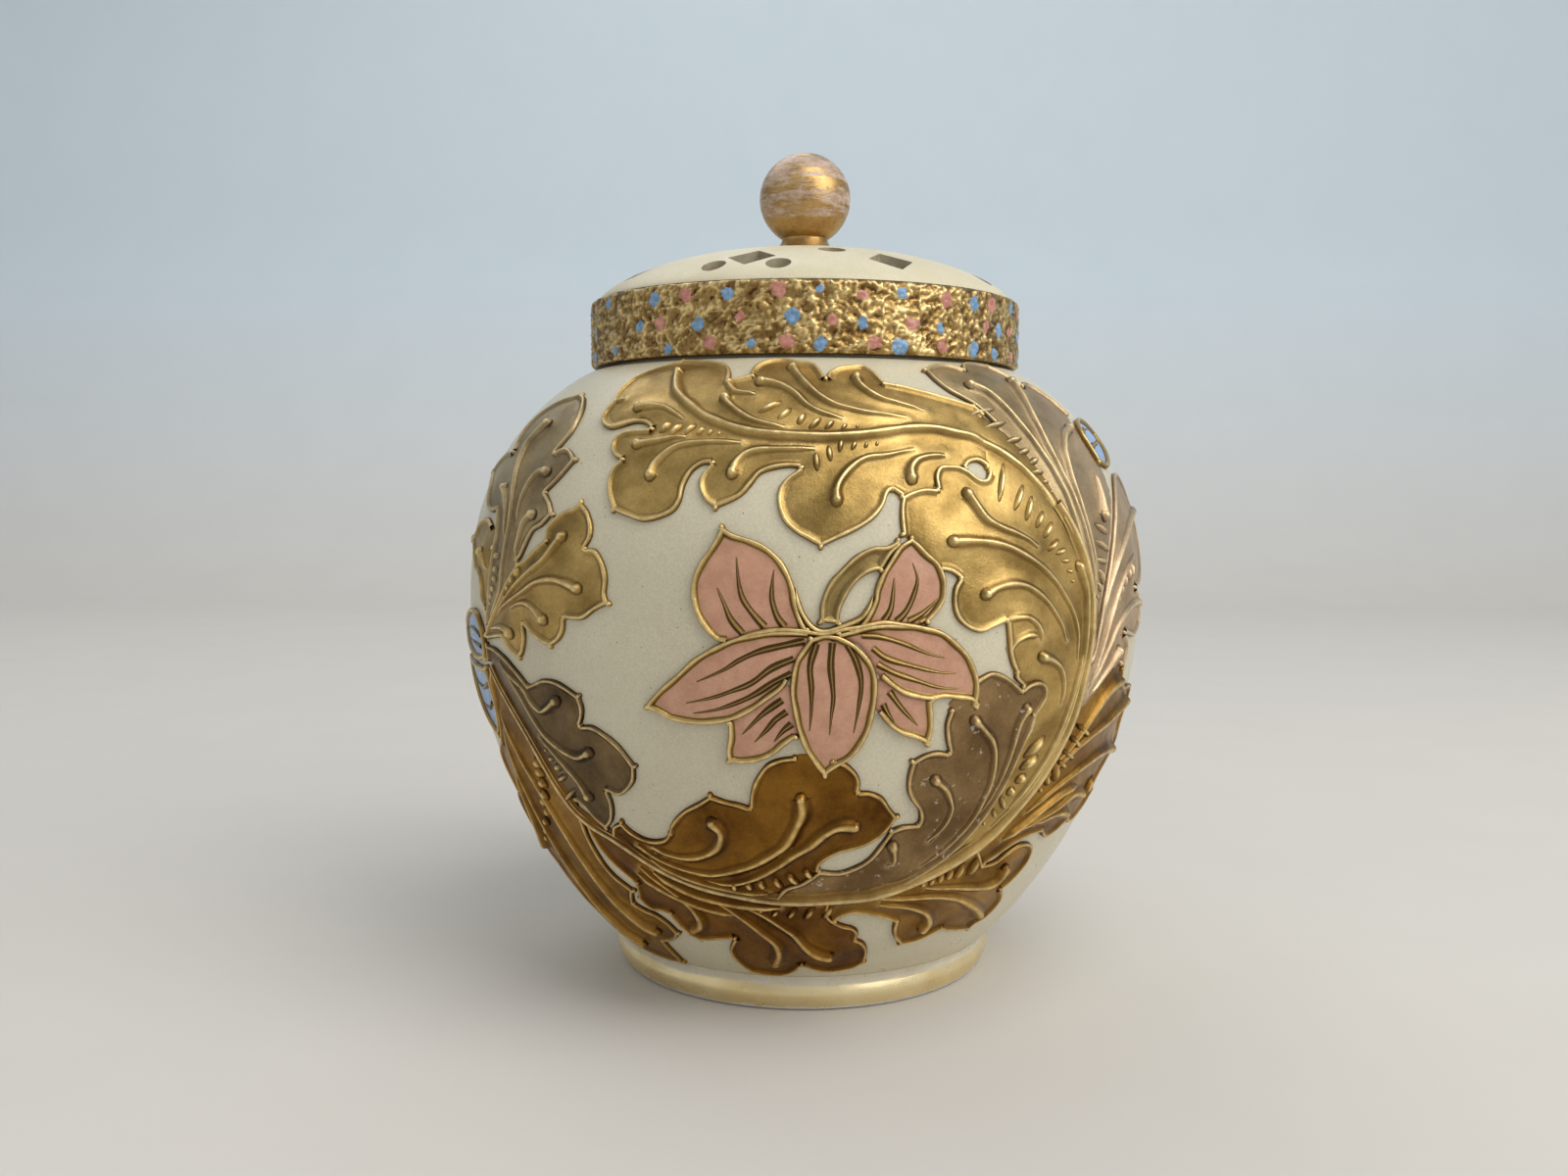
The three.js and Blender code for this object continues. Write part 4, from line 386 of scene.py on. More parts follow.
# Chains of beads, from the largest to the smallest
BEADS = {
    "top_leaf": """
    -21.4 83.4  -18.9 83.5  -16.9 83.3  -15.2 83.1  -13.6 82.9;  1.9 84.6  4.2 84.3  6.5 84
    8.7 84.1;  1.9 79  3.9 80.1  5.7 81.2  7.8 81.2  9.75 81.3  11.5 81.5""",
    "scroll_leaf": """
    39.5 67.6  41.1 66.75  42 65.5  42.8 64.1  43.3 62.8;  34.1 32.8  32.9 31.3  31.4 29.9""",
    "lower_left_leaf": "5 16.5  1.4 16.3  -1.9 16.3  -5 16.5  -7.6 17",
    "lower_right_leaf": "32.3 22.6  29.3 22.2  27.3 21.9  25.6 21.5  23.9 21.1  22.3 20.8",
    "left_bronze_leaf": "-42.4 36.9  -43.7 38  -44.5 39.2",
    "left_outer_leaf": """
    -48.25 36.7  -48.5 35.3  -48.7 33.6  -49.1 31.8  -50.3 30.5  -51.6 28.4  -53.7 26.5  -56.2 24.4
    -59.1 22.5""",
    "left_gold_leaf": "-48.1 63.4  -49.75 62.3  -51 61.1  -51.8 59.8",
    "left_grey_leaf": """
    -57 66.4  -55.2 65.3  -55.2 63.4  -55.4 62.1  -56 60.7  -56.8 59.6  -57.25 58.6""",
    "right_upper_leaf": "39.8 77.6  40.9 76.2  41.8 74.8;  51 63.1  50.2 61.7  49.5 60.4",
    "right_middle_leaf": """
    63.9 63.3  61.8 62.9  59.5 62.1  57.9 61  56.4 59.8  55.2 58.5  54.3 57.7""",
    "right_lower_leaf": "44.1 36.7  42.9 35.4  42 34;  60.6 31.7",
}

# Short thick dashes, each from end to end
DASHES = {
    "top_leaf": """
    -24 83.4  -23.1 84.7;  -7.4 86.5  -4.5 88.1;  -4.1 85.3  -2.5 86.8;  -0.8 84.7  0 86""",
    "scroll_leaf": """
    30.3 74.3  31.9 75.8  32.4 78.2;  33 72.9  34.4 73.8  35.1 75.3;  34.75 71.5  36 72.4
    36.4 73.8;  36.7 70.3  38.2 71.75;  38 68.9  39.7 70.3""",
    "left_bronze_leaf": "-43.9 31.3  -39.9 33.8;  -43.3 34.8  -41.2 35.7",
    "right_upper_leaf": """
    31 86.8  37 87.7;  32.5 84.5  37.9 85.4;  36.2 82.3  39.5 82.8;  37.7 80.5  40 81;  39.3 79
    41.2 79.6;  51.8 70  54.5 69;  50.6 67.9  54 66.7;  50.2 65.4  53 65""",
    "right_lower_leaf": """
    48.1 42.7  51.4 41;  46.6 41.25  49.3 39.6;  45.4 39.4  48.1 38.1;  44.8 37.9  46.4 37.1""",
}

# Long drops of slip, each from end to end
DROPS = {
    "scroll_leaf": """
    36.6 39.7  39.6 41.9;  36.3 37.9  39 39.3;  35.8 35.9  37.4 36.7;  34.6 34.2  35.8 34.8""",
    "lower_inner_leaf": """
    0.3 24.2  1.9 22.9;  -2.6 23.5  -0.6 21.8;  -5 22.8  -3.5 21.2;  -7.7 22.4  -6.4 21;  -9.8 22.1
    -8.7 20.9;  -12 22  -11.6 20.7""",
}


# Which leaves take which gold. A leaf that the second table names has a colour of its own. The brown
# golds of the lower leaves are partly their own lustre and partly a painted reflection of a dark floor
# under them.
GOLDS = {
    "bright": ["top_leaf", "scroll_leaf", "left_gold_leaf", "left_small_leaf"],
    "bronze": ["bronze_leaf", "left_bronze_leaf", "left_grey_leaf", "right_upper_leaf", "flower_stem"],
    "pale": ["right_middle_leaf"],
    "brown": ["lower_inner_leaf", "lower_left_leaf", "lower_right_leaf", "left_outer_leaf",
              "right_lower_leaf", "scroll_stem"],
}
SHADES = {
    "left_bronze_leaf": "dark",
    "left_grey_leaf": "grey",
    "right_upper_leaf": "grey",
    "scroll_stem": "stem",
    "flower_stem": "olive",
    "lower_left_leaf": "copper",
    "lower_right_leaf": "amber",
    "right_lower_leaf": "amber",
    "left_outer_leaf": "amber",
}
# From which azimuth to which a piece's colour turns to its second one, if it does: the scroll stem
# turns browner towards the left, partly painted shade, and the right upper leaf paler towards the
# right, partly painted light.
FADES = {"scroll_stem": (30, -18), "right_upper_leaf": (40, 58)}
NO_FADE = (200, 300)


def body_radius(z):
    """Radius of the body's outer face at heights between the foot and the neck."""
    below = np.clip((BELLY_Z - z) / (BELLY_Z - BODY_BOTTOM), 0, 1)
    above = np.clip((z - BELLY_Z) / (NECK_Z - BELLY_Z), 0, 1)
    low = BASE_R + (BODY_R - BASE_R) * (1 - below ** LOW_BULGE[0]) ** LOW_BULGE[1]
    high = SHOULDER_R + (BODY_R - SHOULDER_R) * (1 - above ** HIGH_BULGE[0]) ** HIGH_BULGE[1]
    return np.where(z < BELLY_Z, low, high)


WALL_POINTS = 1601
WALL_Z = BODY_BOTTOM + (NECK_Z - BODY_BOTTOM) * (1 - np.cos(np.linspace(0, math.pi, WALL_POINTS))) / 2
WALL_R = body_radius(WALL_Z)
WALL_ARC = np.concatenate([[0], np.cumsum(np.hypot(np.diff(WALL_Z), np.diff(WALL_R)))])
WALL_LENGTH = WALL_ARC[-1]


def wall(climb):
    """(radius, height) of places along the wall."""
    arc = np.clip(climb, 0, 100) * WALL_LENGTH / 100
    return np.interp(arc, WALL_ARC, WALL_R), np.interp(arc, WALL_ARC, WALL_Z)


def place(points, out):
    """Points in space, in metres, at a distance out of the wall."""
    near = 0.4
    azimuth = np.radians(points[:, 0])
    climb = points[:, 1]
    r, z = wall(climb)
    low_r, low_z = wall(np.clip(climb - near, 0, 100))
    high_r, high_z = wall(np.clip(climb + near, 0, 100))
    span = np.hypot(high_r - low_r, high_z - low_z)
    r = r + out * (high_z - low_z) / span
    z = z - out * (high_r - low_r) / span
    return np.stack([r * np.sin(azimuth), -r * np.cos(azimuth), z], 1) * MM


def moved(points, across, up):
    """Points moved by millimetres across and up the wall."""
    r = wall(points[:, 1])[0]
    return np.stack([points[:, 0] + np.degrees(across / r), points[:, 1] + up * 100 / WALL_LENGTH], 1)


def beside(line, way, side):
    """A line moved by millimetres to the left of the way it goes."""
    return moved(line, -way[:, 1] * side, way[:, 0] * side)


def steps(points):
    """Lengths and directions, in millimetres, from each point to the next."""
    r = wall((points[1:, 1] + points[:-1, 1]) / 2)[0]
    run = np.diff(points, axis=0)
    return np.stack([np.radians(run[:, 0]) * r, run[:, 1] * WALL_LENGTH / 100], 1)


def even(points, step):
    """The same line in even steps of about that many millimetres."""
    length = np.concatenate([[0], np.cumsum(np.linalg.norm(steps(points), axis=1))])
    count = max(2, int(round(length[-1] / step)) + 1)
    at = np.linspace(0, length[-1], count)
    return np.stack([np.interp(at, length, points[:, i]) for i in (0, 1)], 1)


def smooth(points, step):
    """A rounded line through the points."""
    if len(points) < 3:
        return even(points, step)
    p = np.vstack([2 * points[0] - points[1], points, 2 * points[-1] - points[-2]])
    between = 10
    t = np.linspace(0, 1, between, endpoint=False)[:, None]
    parts = []
    for a, b, c, d in zip(p[:-3], p[1:-2], p[2:-1], p[3:]):
        parts.append(0.5 * (2 * b + (c - a) * t + (2 * a - 5 * b + 4 * c - d) * t**2
                            + (3 * b - a - 3 * c + d) * t**3))
    return even(np.vstack(parts + [points[-1:]]), step)


def directions(points):
    """Unit directions along a line at each of its points, in millimetres across and up."""
    tiny = 1e-9
    d = steps(points)
    d /= np.maximum(tiny, np.linalg.norm(d, axis=1))[:, None]
    ahead = np.vstack([d[:1], d, d[-1:]])
    mean = ahead[1:] + ahead[:-1]
    return mean / np.maximum(tiny, np.linalg.norm(mean, axis=1))[:, None]


def humped(count, end, steep, least):
    """A cord's thickness along it: whole in the middle, thin towards both ends."""
    return np.clip(np.sin(np.linspace(end, math.pi - end, count)) * steep, least, 1)


def stem_outline(line, half_width):
    """The two sides of a stem and its ends, as strokes."""
    way = directions(line)
    left = beside(line, way, half_width)
    right = beside(line, way, -half_width)[::-1]
    return [(left, True), (right[:1], False), (right[1:], True), (left[:1], False)]


def inside(points, outline):
    """Which points of a plane lie in an outline."""
    within = np.zeros(len(points), bool)
    for a, b in zip(outline, np.roll(outline, -1, 0)):
        crosses = (a[1] > points[:, 1]) != (b[1] > points[:, 1])
        rise = b[1] - a[1] if abs(b[1] - a[1]) > 1e-9 else 1e-9
        within ^= crosses & (points[:, 0] < a[0] + (points[:, 1] - a[1]) * (b[0] - a[0]) / rise)
    return within


def facing_up(face, points):
    """A triangle's corners, turned so that it faces up or out."""
    a, b, c = points[list(face)]
    left = (b[0] - a[0]) * (c[1] - a[1]) > (b[1] - a[1]) * (c[0] - a[0])
    return list(face) if left else list(face)[::-1]


def triangles(points, loops):
    """A plane's points joined up inside loops: where they are, their faces and where each came from."""
    result = delaunay_2d_cdt([Vector(p) for p in points.tolist()], [], loops, 1, 1e-5)
    where = np.array([[v.x, v.y] for v in result[0]])
    source = np.array([origin[0] if origin else -1 for origin in result[3]])
    return where, result[2], source


def show(name, data):
    """An object in the scene."""
    made = bpy.data.objects.new(name, data)
    bpy.context.scene.collection.objects.link(made)
    return made


def smooth_mesh(name, places, faces, **attributes):
    """A smooth mesh with a number at each vertex for each attribute."""
    mesh = bpy.data.meshes.new(name)
    mesh.from_pydata(places.tolist(), [], faces)
    mesh.polygons.foreach_set("use_smooth", [True] * len(faces))
    for attribute, values in attributes.items():
        layer = mesh.attributes.new(attribute, "FLOAT", "POINT")
        layer.data.foreach_set("value", values.reshape(-1).astype(np.float32))
    return mesh


# A cord's section: how far to the side, in half widths, how high, in cord heights, and its painted
# light: highlight above zero on the crest, shade below zero beside it, partly grime.
# Below a height of zero it ends inside the wall.
SECTION = np.array([
    [-2.3, 0.0, 0.0],
    [-1.4, 0.05, -0.6],
    [-0.98, 0.36, -0.35],
    [-0.52, 0.84, 0.4],
    [0.0, 1.0, 1.0],
    [0.52, 0.84, 0.4],
    [0.98, 0.36, -0.35],
    [1.4, 0.05, -0.6],
    [2.3, 0.0, 0.0],
])
EDGE_SECTION = np.array([
    [-2.6, 0.0, 0.0],
    [-1.7, 0.1, -0.25],
    [-1.05, 0.42, -0.1],
    [-0.5, 0.84, 0.45],
    [0.05, 1.0, 1.0],
    [0.6, 0.86, 0.45],
    [1.0, 0.4, -0.6],
    [1.1, -1.0, -1.0],
])
FREE_SECTION = np.vstack([[[-1.06, -1.0, -1.0]], SECTION[2:7], [[1.06, -1.0, -1.0]]])

# A drop's rings: how far out, in its own size, how high, and its painted light: highlight above zero,
# shade below zero. At a tip TIP_RING is first.
DROP_RINGS = [(1.35, 0.0, -1.0), (1.0, 0.25, -0.4), (0.72, 0.72, 0.4), (0.38, 0.94, 0.9)]
TIP_RING = (1.1, -1.0, -0.6)
DROP_SIDES = 12

INSIDE_WALL = -0.2
RIM_INSIDE_WALL = -0.1
OVER_FACE = 0.02
# How much a hand-drawn cord's width wavers, and how fast from point to point
WOBBLE = 0.08
WOBBLE_PACE = 0.45
# How much higher each next vein of a leaf lies, so that no two share a surface where they meet
VEIN_LIFT = 0.004
BORDER_STEP = 0.55
LINE_STEP = 0.6
STEM_STEP = 0.8
TUCK = 0.8
EDGE_REACH = 2.6
RIDGE_REACH = 2.3
HIGHLIGHT_REACH = 1.8
FACE_PITCH = 0.9
ROW_PITCH = 0.87
PLAN_SQUEEZE = 0.9
DEGREES_IN_RADIAN = 57.3
# How sharp a corner of the border has to be for a drop, the drop's length and width in half widths of
# the cord, and how far a notch's drop moves out of it
SHARP_CORNER = 0.35
TIP_DROP = (1.5, 1.15)
NOTCH_DROP_OUT = 0.35


class Leaf:
    """One leaf, petal or stem on the wall: its mesh, and at each vertex its painted highlight on what
    sticks out and painted shade, partly grime, beside it.
    """

    def __init__(self, name, strokes, level, puff, swell, groove_shade_and_grime, flank):
        self.name = name
        self.level = level
        self.puff = puff
        self.swell = swell
        self.groove_shade_and_grime = groove_shade_and_grime
        self.flank = flank
        self.veins = []
        self.places = []
        self.polish = []
        self.faces = []
        self.on_cord = []
        self.count = 0
        starts = [strokes[-1][0][-1]] + [points[-1] for points, _ in strokes[:-1]]
        lines = [smooth(np.vstack([start, points]), BORDER_STEP)
                 for start, (points, _) in zip(starts, strokes)]
        self.border = np.vstack([line[:-1] for line in lines])
        x, y = self.plan(self.border).T
        self.side = np.sign(np.sum(x * np.roll(y, -1) - y * np.roll(x, -1)))
        self.strokes = [(line if corded else self.tucked(line), corded)
                        for line, (_, corded) in zip(lines, strokes)]
        self.border = np.vstack([line[:-1] for line, _ in self.strokes])

    def add(self, places, faces, polish, on_cord):
        self.places.append(places)
        self.polish.append(polish)
        self.faces += [[i + self.count for i in face] for face in faces]
        self.on_cord += [on_cord] * len(faces)
        self.count += len(places)

    def tucked(self, line):
        """A part of the border pushed out, so that it lies well under its neighbour."""
        push = TUCK * np.clip(np.sin(np.linspace(0, math.pi, len(line))) * 3, 0, 1)
        return beside(line, directions(line), -push * self.side)

    def plan(self, points):
        """Points in a plane, for the piece's faces."""
        middle = self.border.mean(0)
        across = np.radians(points[:, 0] - middle[0]) * BODY_R * PLAN_SQUEEZE
        return np.stack([across, points[:, 1] * WALL_LENGTH / 100], 1)

    def nearness(self, points, lines, reach):
        """1 on the lines, fading to 0 at some reach from them."""
        near = np.zeros(len(points))
        if not len(lines):
            return near
        there = np.vstack(lines)
        batch = 2000
        for start in range(0, len(points), batch):
            some = points[start:start + batch]
            r = wall(some[:, 1])[0][:, None]
            across = np.radians(some[:, :1] - there[None, :, 0]) * r
            up = (some[:, 1:] - there[None, :, 1]) * WALL_LENGTH / 100
            near[start:start + batch] = np.exp(-(across**2 + up**2).min(1) / reach**2)
        return near

    def ground(self, points):
        """How far the leaf's face stands out of the wall."""
        edge = self.nearness(points, [self.border], EDGE_REACH)
        ridge = self.nearness(points, self.veins, RIDGE_REACH)
        return self.level + self.puff * (1 - edge) + self.swell * ridge * (1 - edge)

    def face(self):
        """The leaf's own face."""
        border = self.border[::2]
        low = border.min(0)
        high = border.max(0)
        across = FACE_PITCH / BODY_R * DEGREES_IN_RADIAN
        up = FACE_PITCH * 100 / WALL_LENGTH
        grid = np.array([(azimuth, climb)
                         for row, climb in enumerate(np.arange(low[1], high[1], up * ROW_PITCH))
                         for azimuth in np.arange(low[0] + across / 2 * (row % 2), high[0], across)])
        close = self.nearness(grid, [border], 1.0) > math.exp(-(0.55 * FACE_PITCH) ** 2)
        grid = grid[inside(self.plan(grid), self.plan(border)) & ~close]
        points = np.vstack([border, grid])
        where, faces, source = triangles(self.plan(points), [list(range(len(border)))])
        known = source >= 0
        laid = np.stack([np.degrees(where[:, 0] / (BODY_R * PLAN_SQUEEZE)) + self.border.mean(0)[0],
                         where[:, 1] * 100 / WALL_LENGTH], 1)
        laid[known] = points[source[known]]
        out = self.ground(laid)
        out[known & (source < len(border))] = RIM_INSIDE_WALL
        # Painted highlight on the face where it swells up towards the veins
        polish = 0.45 * self.nearness(laid, self.veins, HIGHLIGHT_REACH)
        self.add(place(laid, out), [facing_up(face, laid) for face in faces], polish, 0)

    def cord(self, line, half, height, lift=0.0, outer=0, free=False, painted_light=0.0):
        """A raised cord along a line. On its outer side, or on both if free, it reaches the wall."""
        way = directions(line)
        wave = np.sin(WOBBLE_PACE * np.arange(len(line)) + 7 * line[0, 0])
        half = half * (1 + WOBBLE * wave)
        section = FREE_SECTION if free else SECTION
        if outer:
            section = EDGE_SECTION * [outer, 1, 1]
            # Painted shade, partly grime, in the groove beside the edge cord
            section[1, 2] = self.groove_shade_and_grime
            section[:2, 0] *= self.flank
        for side, rise, polish in section[np.argsort(section[:, 0])]:
            spot = beside(line, way, side * half)
            if rise < 0:
                out = INSIDE_WALL
            elif free or (outer and side * outer > 0):
                out = self.level + rise * height
            else:
                out = self.ground(spot) + rise * height + lift
            self.places.append(place(spot, out))
            # The row's painted highlight and shade, shifted by the cord's painted_light
            self.polish.append(np.full(len(line), polish + painted_light))
        count = len(line)
        for row in range(len(section) - 1):
            for a in range(self.count + row * count, self.count + row * count + count - 1):
                self.faces.append([a, a + 1, a + count + 1, a + count])
                self.on_cord.append(1)
        self.count += count * len(section)

    def bead(self, spot, way, length, width, height, tip=False):
        """A drop of slip, drawn out along a way. At a tip of the leaf its rim goes down to the wall."""
        rings = [TIP_RING] + DROP_RINGS[1:] if tip else DROP_RINGS
        around = np.linspace(0, 2 * math.pi, DROP_SIDES, endpoint=False)
        base = float(self.ground(spot[None])[0])
        places = []
        faces = []
        for ring, (reach, rise, _) in enumerate(rings):
            along = np.cos(around) * length * reach
            aside = np.sin(around) * width * reach
            points = moved(np.repeat(spot[None], DROP_SIDES, 0), along * way[0] - aside * way[1],
                           along * way[1] + aside * way[0])
            places.append(place(points, INSIDE_WALL if rise < 0 else base + rise * height + OVER_FACE))
            for i in range(DROP_SIDES):
                a = ring * DROP_SIDES + i
                b = ring * DROP_SIDES + (i + 1) % DROP_SIDES
                faces.append([a, b, b + DROP_SIDES, a + DROP_SIDES])
        top = DROP_SIDES * len(rings)
        faces[-DROP_SIDES:] = [[a, b, top] for a, b, _, _ in faces[-DROP_SIDES:]]
        places.append(place(spot[None], base + height))
        # Painted highlight on the drop's top, painted shade round its foot
        polish = np.append(np.repeat([painted_light for _, _, painted_light in rings], DROP_SIDES), 1.0)
        self.add(np.vstack(places), faces, polish, 1)

    def edge_cords(self, half, height, drops=True):
        """The cord round the leaf, with a small drop at each tip and notch."""
        ends = [directions(line)[[0, -1]] for line, _ in self.strokes]
        total = len(self.strokes)
        for index, (line, corded) in enumerate(self.strokes):
            if not corded:
                continue
            inward = beside(line, directions(line), half * self.side)
            self.cord(inward, half, height, outer=int(-self.side))
            corners = [(line[:1], ends[index - 1][1], ends[index][0])]
            if not self.strokes[(index + 1) % total][1]:
                corners.append((line[-1:], ends[index][1], ends[(index + 1) % total][0]))
            for corner, arriving, leaving in corners:
                turn = arriving - leaving
                sharp = np.linalg.norm(turn)
                if sharp < SHARP_CORNER or not drops:
                    continue
                away = turn / sharp
                mean = (arriving + leaving) / 2
                inner = np.array([-mean[1], mean[0]]) * self.side * half
                if turn @ inner < 0:
                    inner = inner + away * NOTCH_DROP_OUT
                spot = moved(corner, *inner)[0]
                self.bead(spot, away, half * TIP_DROP[0], half * TIP_DROP[1], height, tip=True)

    def vein(self, line, number):
        """A cord that starts in a round drop and thins out: its line, half width, height and lift."""
        line = smooth(line, LINE_STEP)
        self.veins.append(line)
        share = np.linspace(0, 1, len(line))
        half = 1.0 - 0.65 * share**0.7
        if self.name == "top_leaf" and number == 0:
            half = 1.0 - 0.1 * share
        height = half * (1.45 - 0.1 * share) * np.clip((1 - share) * 8, 0.05, 1)
        return line, half, height, VEIN_LIFT * number

    def build(self, name, turn, materials):
        """An object, turned round the jar's axis, with how far each vertex has its second colour."""
        places = np.vstack(self.places)
        start, end = FADES.get(self.name, NO_FADE)
        azimuth = np.degrees(np.arctan2(places[:, 0], -places[:, 1]))
        c, s = math.cos(turn), math.sin(turn)
        mesh = smooth_mesh(name, places @ np.array([[c, s, 0], [-s, c, 0], [0, 0, 1]]), self.faces,
                           polish=np.concatenate(self.polish),
                           fade=np.clip((azimuth - start) / (end - start), 0, 1))
        for material in materials:
            mesh.materials.append(material)
        if len(materials) > 1:
            mesh.polygons.foreach_set("material_index", self.on_cord)
        mesh.validate()
        return show(name, mesh)


def lathe(name, profile, segments, sharp):
    """A piece turned round the Z axis from a line of (radius, height)."""
    azimuth = np.linspace(0, 2 * math.pi, segments, endpoint=False)
    mesh = bmesh.new()
    rings = []
    for r, z in profile:
        rings.append([mesh.verts.new((r * math.sin(a) * MM, -r * math.cos(a) * MM, z * MM))
                      for a in (azimuth if r else azimuth[:1])])
    closed = len(rings[0]) > 1
    for low, high in list(zip(rings, rings[1:])) + ([(rings[-1], rings[0])] if closed else []):
        for i in range(segments):
            j = (i + 1) % segments
            ring = [low[i % len(low)], low[j % len(low)], high[j % len(high)], high[i % len(high)]]
            face = [v for n, v in enumerate(ring) if v not in ring[:n]]
            if len(face) > 2:
                mesh.faces.new(face)
    bmesh.ops.recalc_face_normals(mesh, faces=mesh.faces)
    return finished(name, mesh, sharp)


def finished(name, mesh, sharp=40.0):
    """An object from a bmesh, smooth but for its edges over that many degrees."""
    data = bpy.data.meshes.new(name)
    mesh.to_mesh(data)
    mesh.free()
    data.polygons.foreach_set("use_smooth", [True] * len(data.polygons))
    data.set_sharp_from_angle(angle=math.radians(sharp))
    return show(name, data)


def arc(r, z, radius, start, end, count=5):
    """Points of a small rounding, in degrees from outwards towards up."""
    angles = np.radians(np.linspace(start, end, count))
    return [(r + radius * math.cos(a), z + radius * math.sin(a)) for a in angles]


def jar_profile():
    """The jar's outer face, its collar, its inner face and its floor."""
    rounding = 1
    outer = list(zip(*wall(np.linspace(0, 100, 130))))
    climb = np.linspace(6, 97, 60)[::-1]
    inner = place(np.stack([0 * climb, climb], 1), -WALL) / MM
    shoulder = NECK_Z - WALL
    return ([(0, UNDERSIDE_Z), (FOOT_INNER_R - 3, UNDERSIDE_Z), (FOOT_INNER_R, BODY_BOTTOM)]
            + outer + [(NECK_R + 0.4, NECK_Z), (NECK_R, NECK_Z + 0.4)]
            + arc(NECK_R - rounding, COLLAR_TOP - rounding, rounding, 0, 90)
            + arc(MOUTH_R + rounding, COLLAR_TOP - rounding, rounding, 90, 180)
            + [(MOUTH_R, shoulder + 1.5), (MOUTH_R + 1.5, shoulder)]
            + [(-y, z) for _, y, z in inner if FLOOR_Z + 1 < z < shoulder]
            + [(BASE_R - WALL - 4, FLOOR_Z), (0, FLOOR_Z)])


# The foot's outer face, as how far it stands out of FOOT_R at each height
FOOT_BULGE = [
    (-2.9, 0), (-1.9, 0.3), (-1.1, 0.9), (-0.5, 1.8), (0.05, 3.0), (0.25, 4.0), (0.25, 5.0),
    (0.05, 6.0), (-0.3, 6.9), (-0.5, 7.6), (-0.5, 8.3), (-0.1, 9.1), (0.45, FOOT_HEIGHT + 0.25),
]


def foot_profile():
    outer = [(FOOT_R + out, z) for out, z in FOOT_BULGE]
    return [(FOOT_INNER_R, 0.4), (FOOT_INNER_R + 0.4, 0)] + outer + [(FOOT_INNER_R, FOOT_HEIGHT)]


# Holes through the dome: turn from the front, share of the dome's radius, size, and whether round
HOLE_GROUPS = 4
SQUARE_HOLE_TILT = 45
HOLE_CORNER_R = 0.5
HOLE_CLEARANCE = 1.12
DOME_BULGE = (2.25, 0.72)
DOME_RINGS = 30
RIM_POINTS = 160
HOLES = [
    (-16.4, 0.815, 9.4, False),
    (26.5, 0.84, 9.4, False),
    (-25.7, 0.905, 6.6, True),
    (-7.1, 0.905, 6.6, True),
    (10.0, 0.685, 7.4, True),
]


def dome_height(share, rise):
    return rise * (1 - np.clip(share, 0, 1) ** DOME_BULGE[0]) ** DOME_BULGE[1]


def hole_outline(turn, share, size, is_round):
    """A hole's outline in plan, in millimetres."""
    near = 0.01
    drop = dome_height(share - near, DOME_RISE) - dome_height(share + near, DOME_RISE)
    slope = math.atan2(drop, 2 * near * DOME_R)
    if is_round:
        t = np.linspace(0, 2 * math.pi, 28, endpoint=False)
        x = np.cos(t) * size / 2
        y = np.sin(t) * size / 2
    else:
        flat_half = size / 2 - HOLE_CORNER_R
        t = np.radians([(90 * corner + step) for corner in range(4) for step in (0, 45, 90)])
        x = np.repeat([1, -1, -1, 1], 3) * flat_half + HOLE_CORNER_R * np.cos(t)
        y = np.repeat([1, 1, -1, -1], 3) * flat_half + HOLE_CORNER_R * np.sin(t)
        c = math.cos(math.radians(SQUARE_HOLE_TILT))
        x, y = (x - y) * c, (x + y) * c
    y = y * math.cos(slope) - share * DOME_R
    c, s = math.cos(math.radians(turn)), math.sin(math.radians(turn))
    return np.stack([x * c - y * s, x * s + y * c], 1)


def pierced_dome(name):
    """The lid's dome, with its holes cut right through."""
    outlines = [hole_outline(turn + 360 / HOLE_GROUPS * group, share, size, is_round)
                for group in range(HOLE_GROUPS) for turn, share, size, is_round in HOLES]
    points = []
    loops = []
    for outline in outlines:
        loops.append(list(range(len(points), len(points) + len(outline))))
        points += outline.tolist()
    for share in np.sin(np.linspace(0, math.pi / 2, DOME_RINGS))[1:]:
        count = RIM_POINTS if share > 0.75 else max(8, int(RIM_POINTS * share))
        a = np.linspace(0, 2 * math.pi, count, endpoint=False)
        ring = np.stack([DOME_R * share * np.sin(a), -DOME_R * share * np.cos(a)], 1)
        for outline in outlines:
            middle = outline.mean(0)
            ring = ring[~inside(ring, middle + (outline - middle) * HOLE_CLEARANCE)]
        rim = list(range(len(points), len(points) + len(ring)))
        points += ring.tolist()
    points.append([0.0, 0.0])
    where, faces, _ = triangles(np.array(points), [rim] + loops)
    middles = np.array([where[list(f)].mean(0) for f in faces])
    cut = np.any([inside(middles, outline) for outline in outlines], axis=0)
    faces = [facing_up(f, where) for f, gone in zip(faces, cut) if not gone]
    share = np.linalg.norm(where, axis=1) / DOME_R
    over = DOME_BOTTOM + dome_height(share, DOME_RISE)
    under = DOME_BOTTOM + dome_height(share * DOME_R / (DOME_R - DOME_WALL), DOME_RISE - DOME_WALL)
    mesh = bmesh.new()
    used = sorted({i for f in faces for i in f})
    top, low = [{i: mesh.verts.new((*where[i] * MM, z[i] * MM)) for i in used}
                for z in (over, np.minimum(under, over - 0.01))]
    edges = set()
    for f in faces:
        mesh.faces.new([top[i] for i in f])
        mesh.faces.new([low[i] for i in f[::-1]])
        edges.update(zip(f, f[1:] + f[:1]))
    for p, q in sorted(edges):
        if (q, p) not in edges:
            mesh.faces.new([top[q], top[p], low[p], low[q]]).material_index = 1
    return finished(name, mesh, 35)


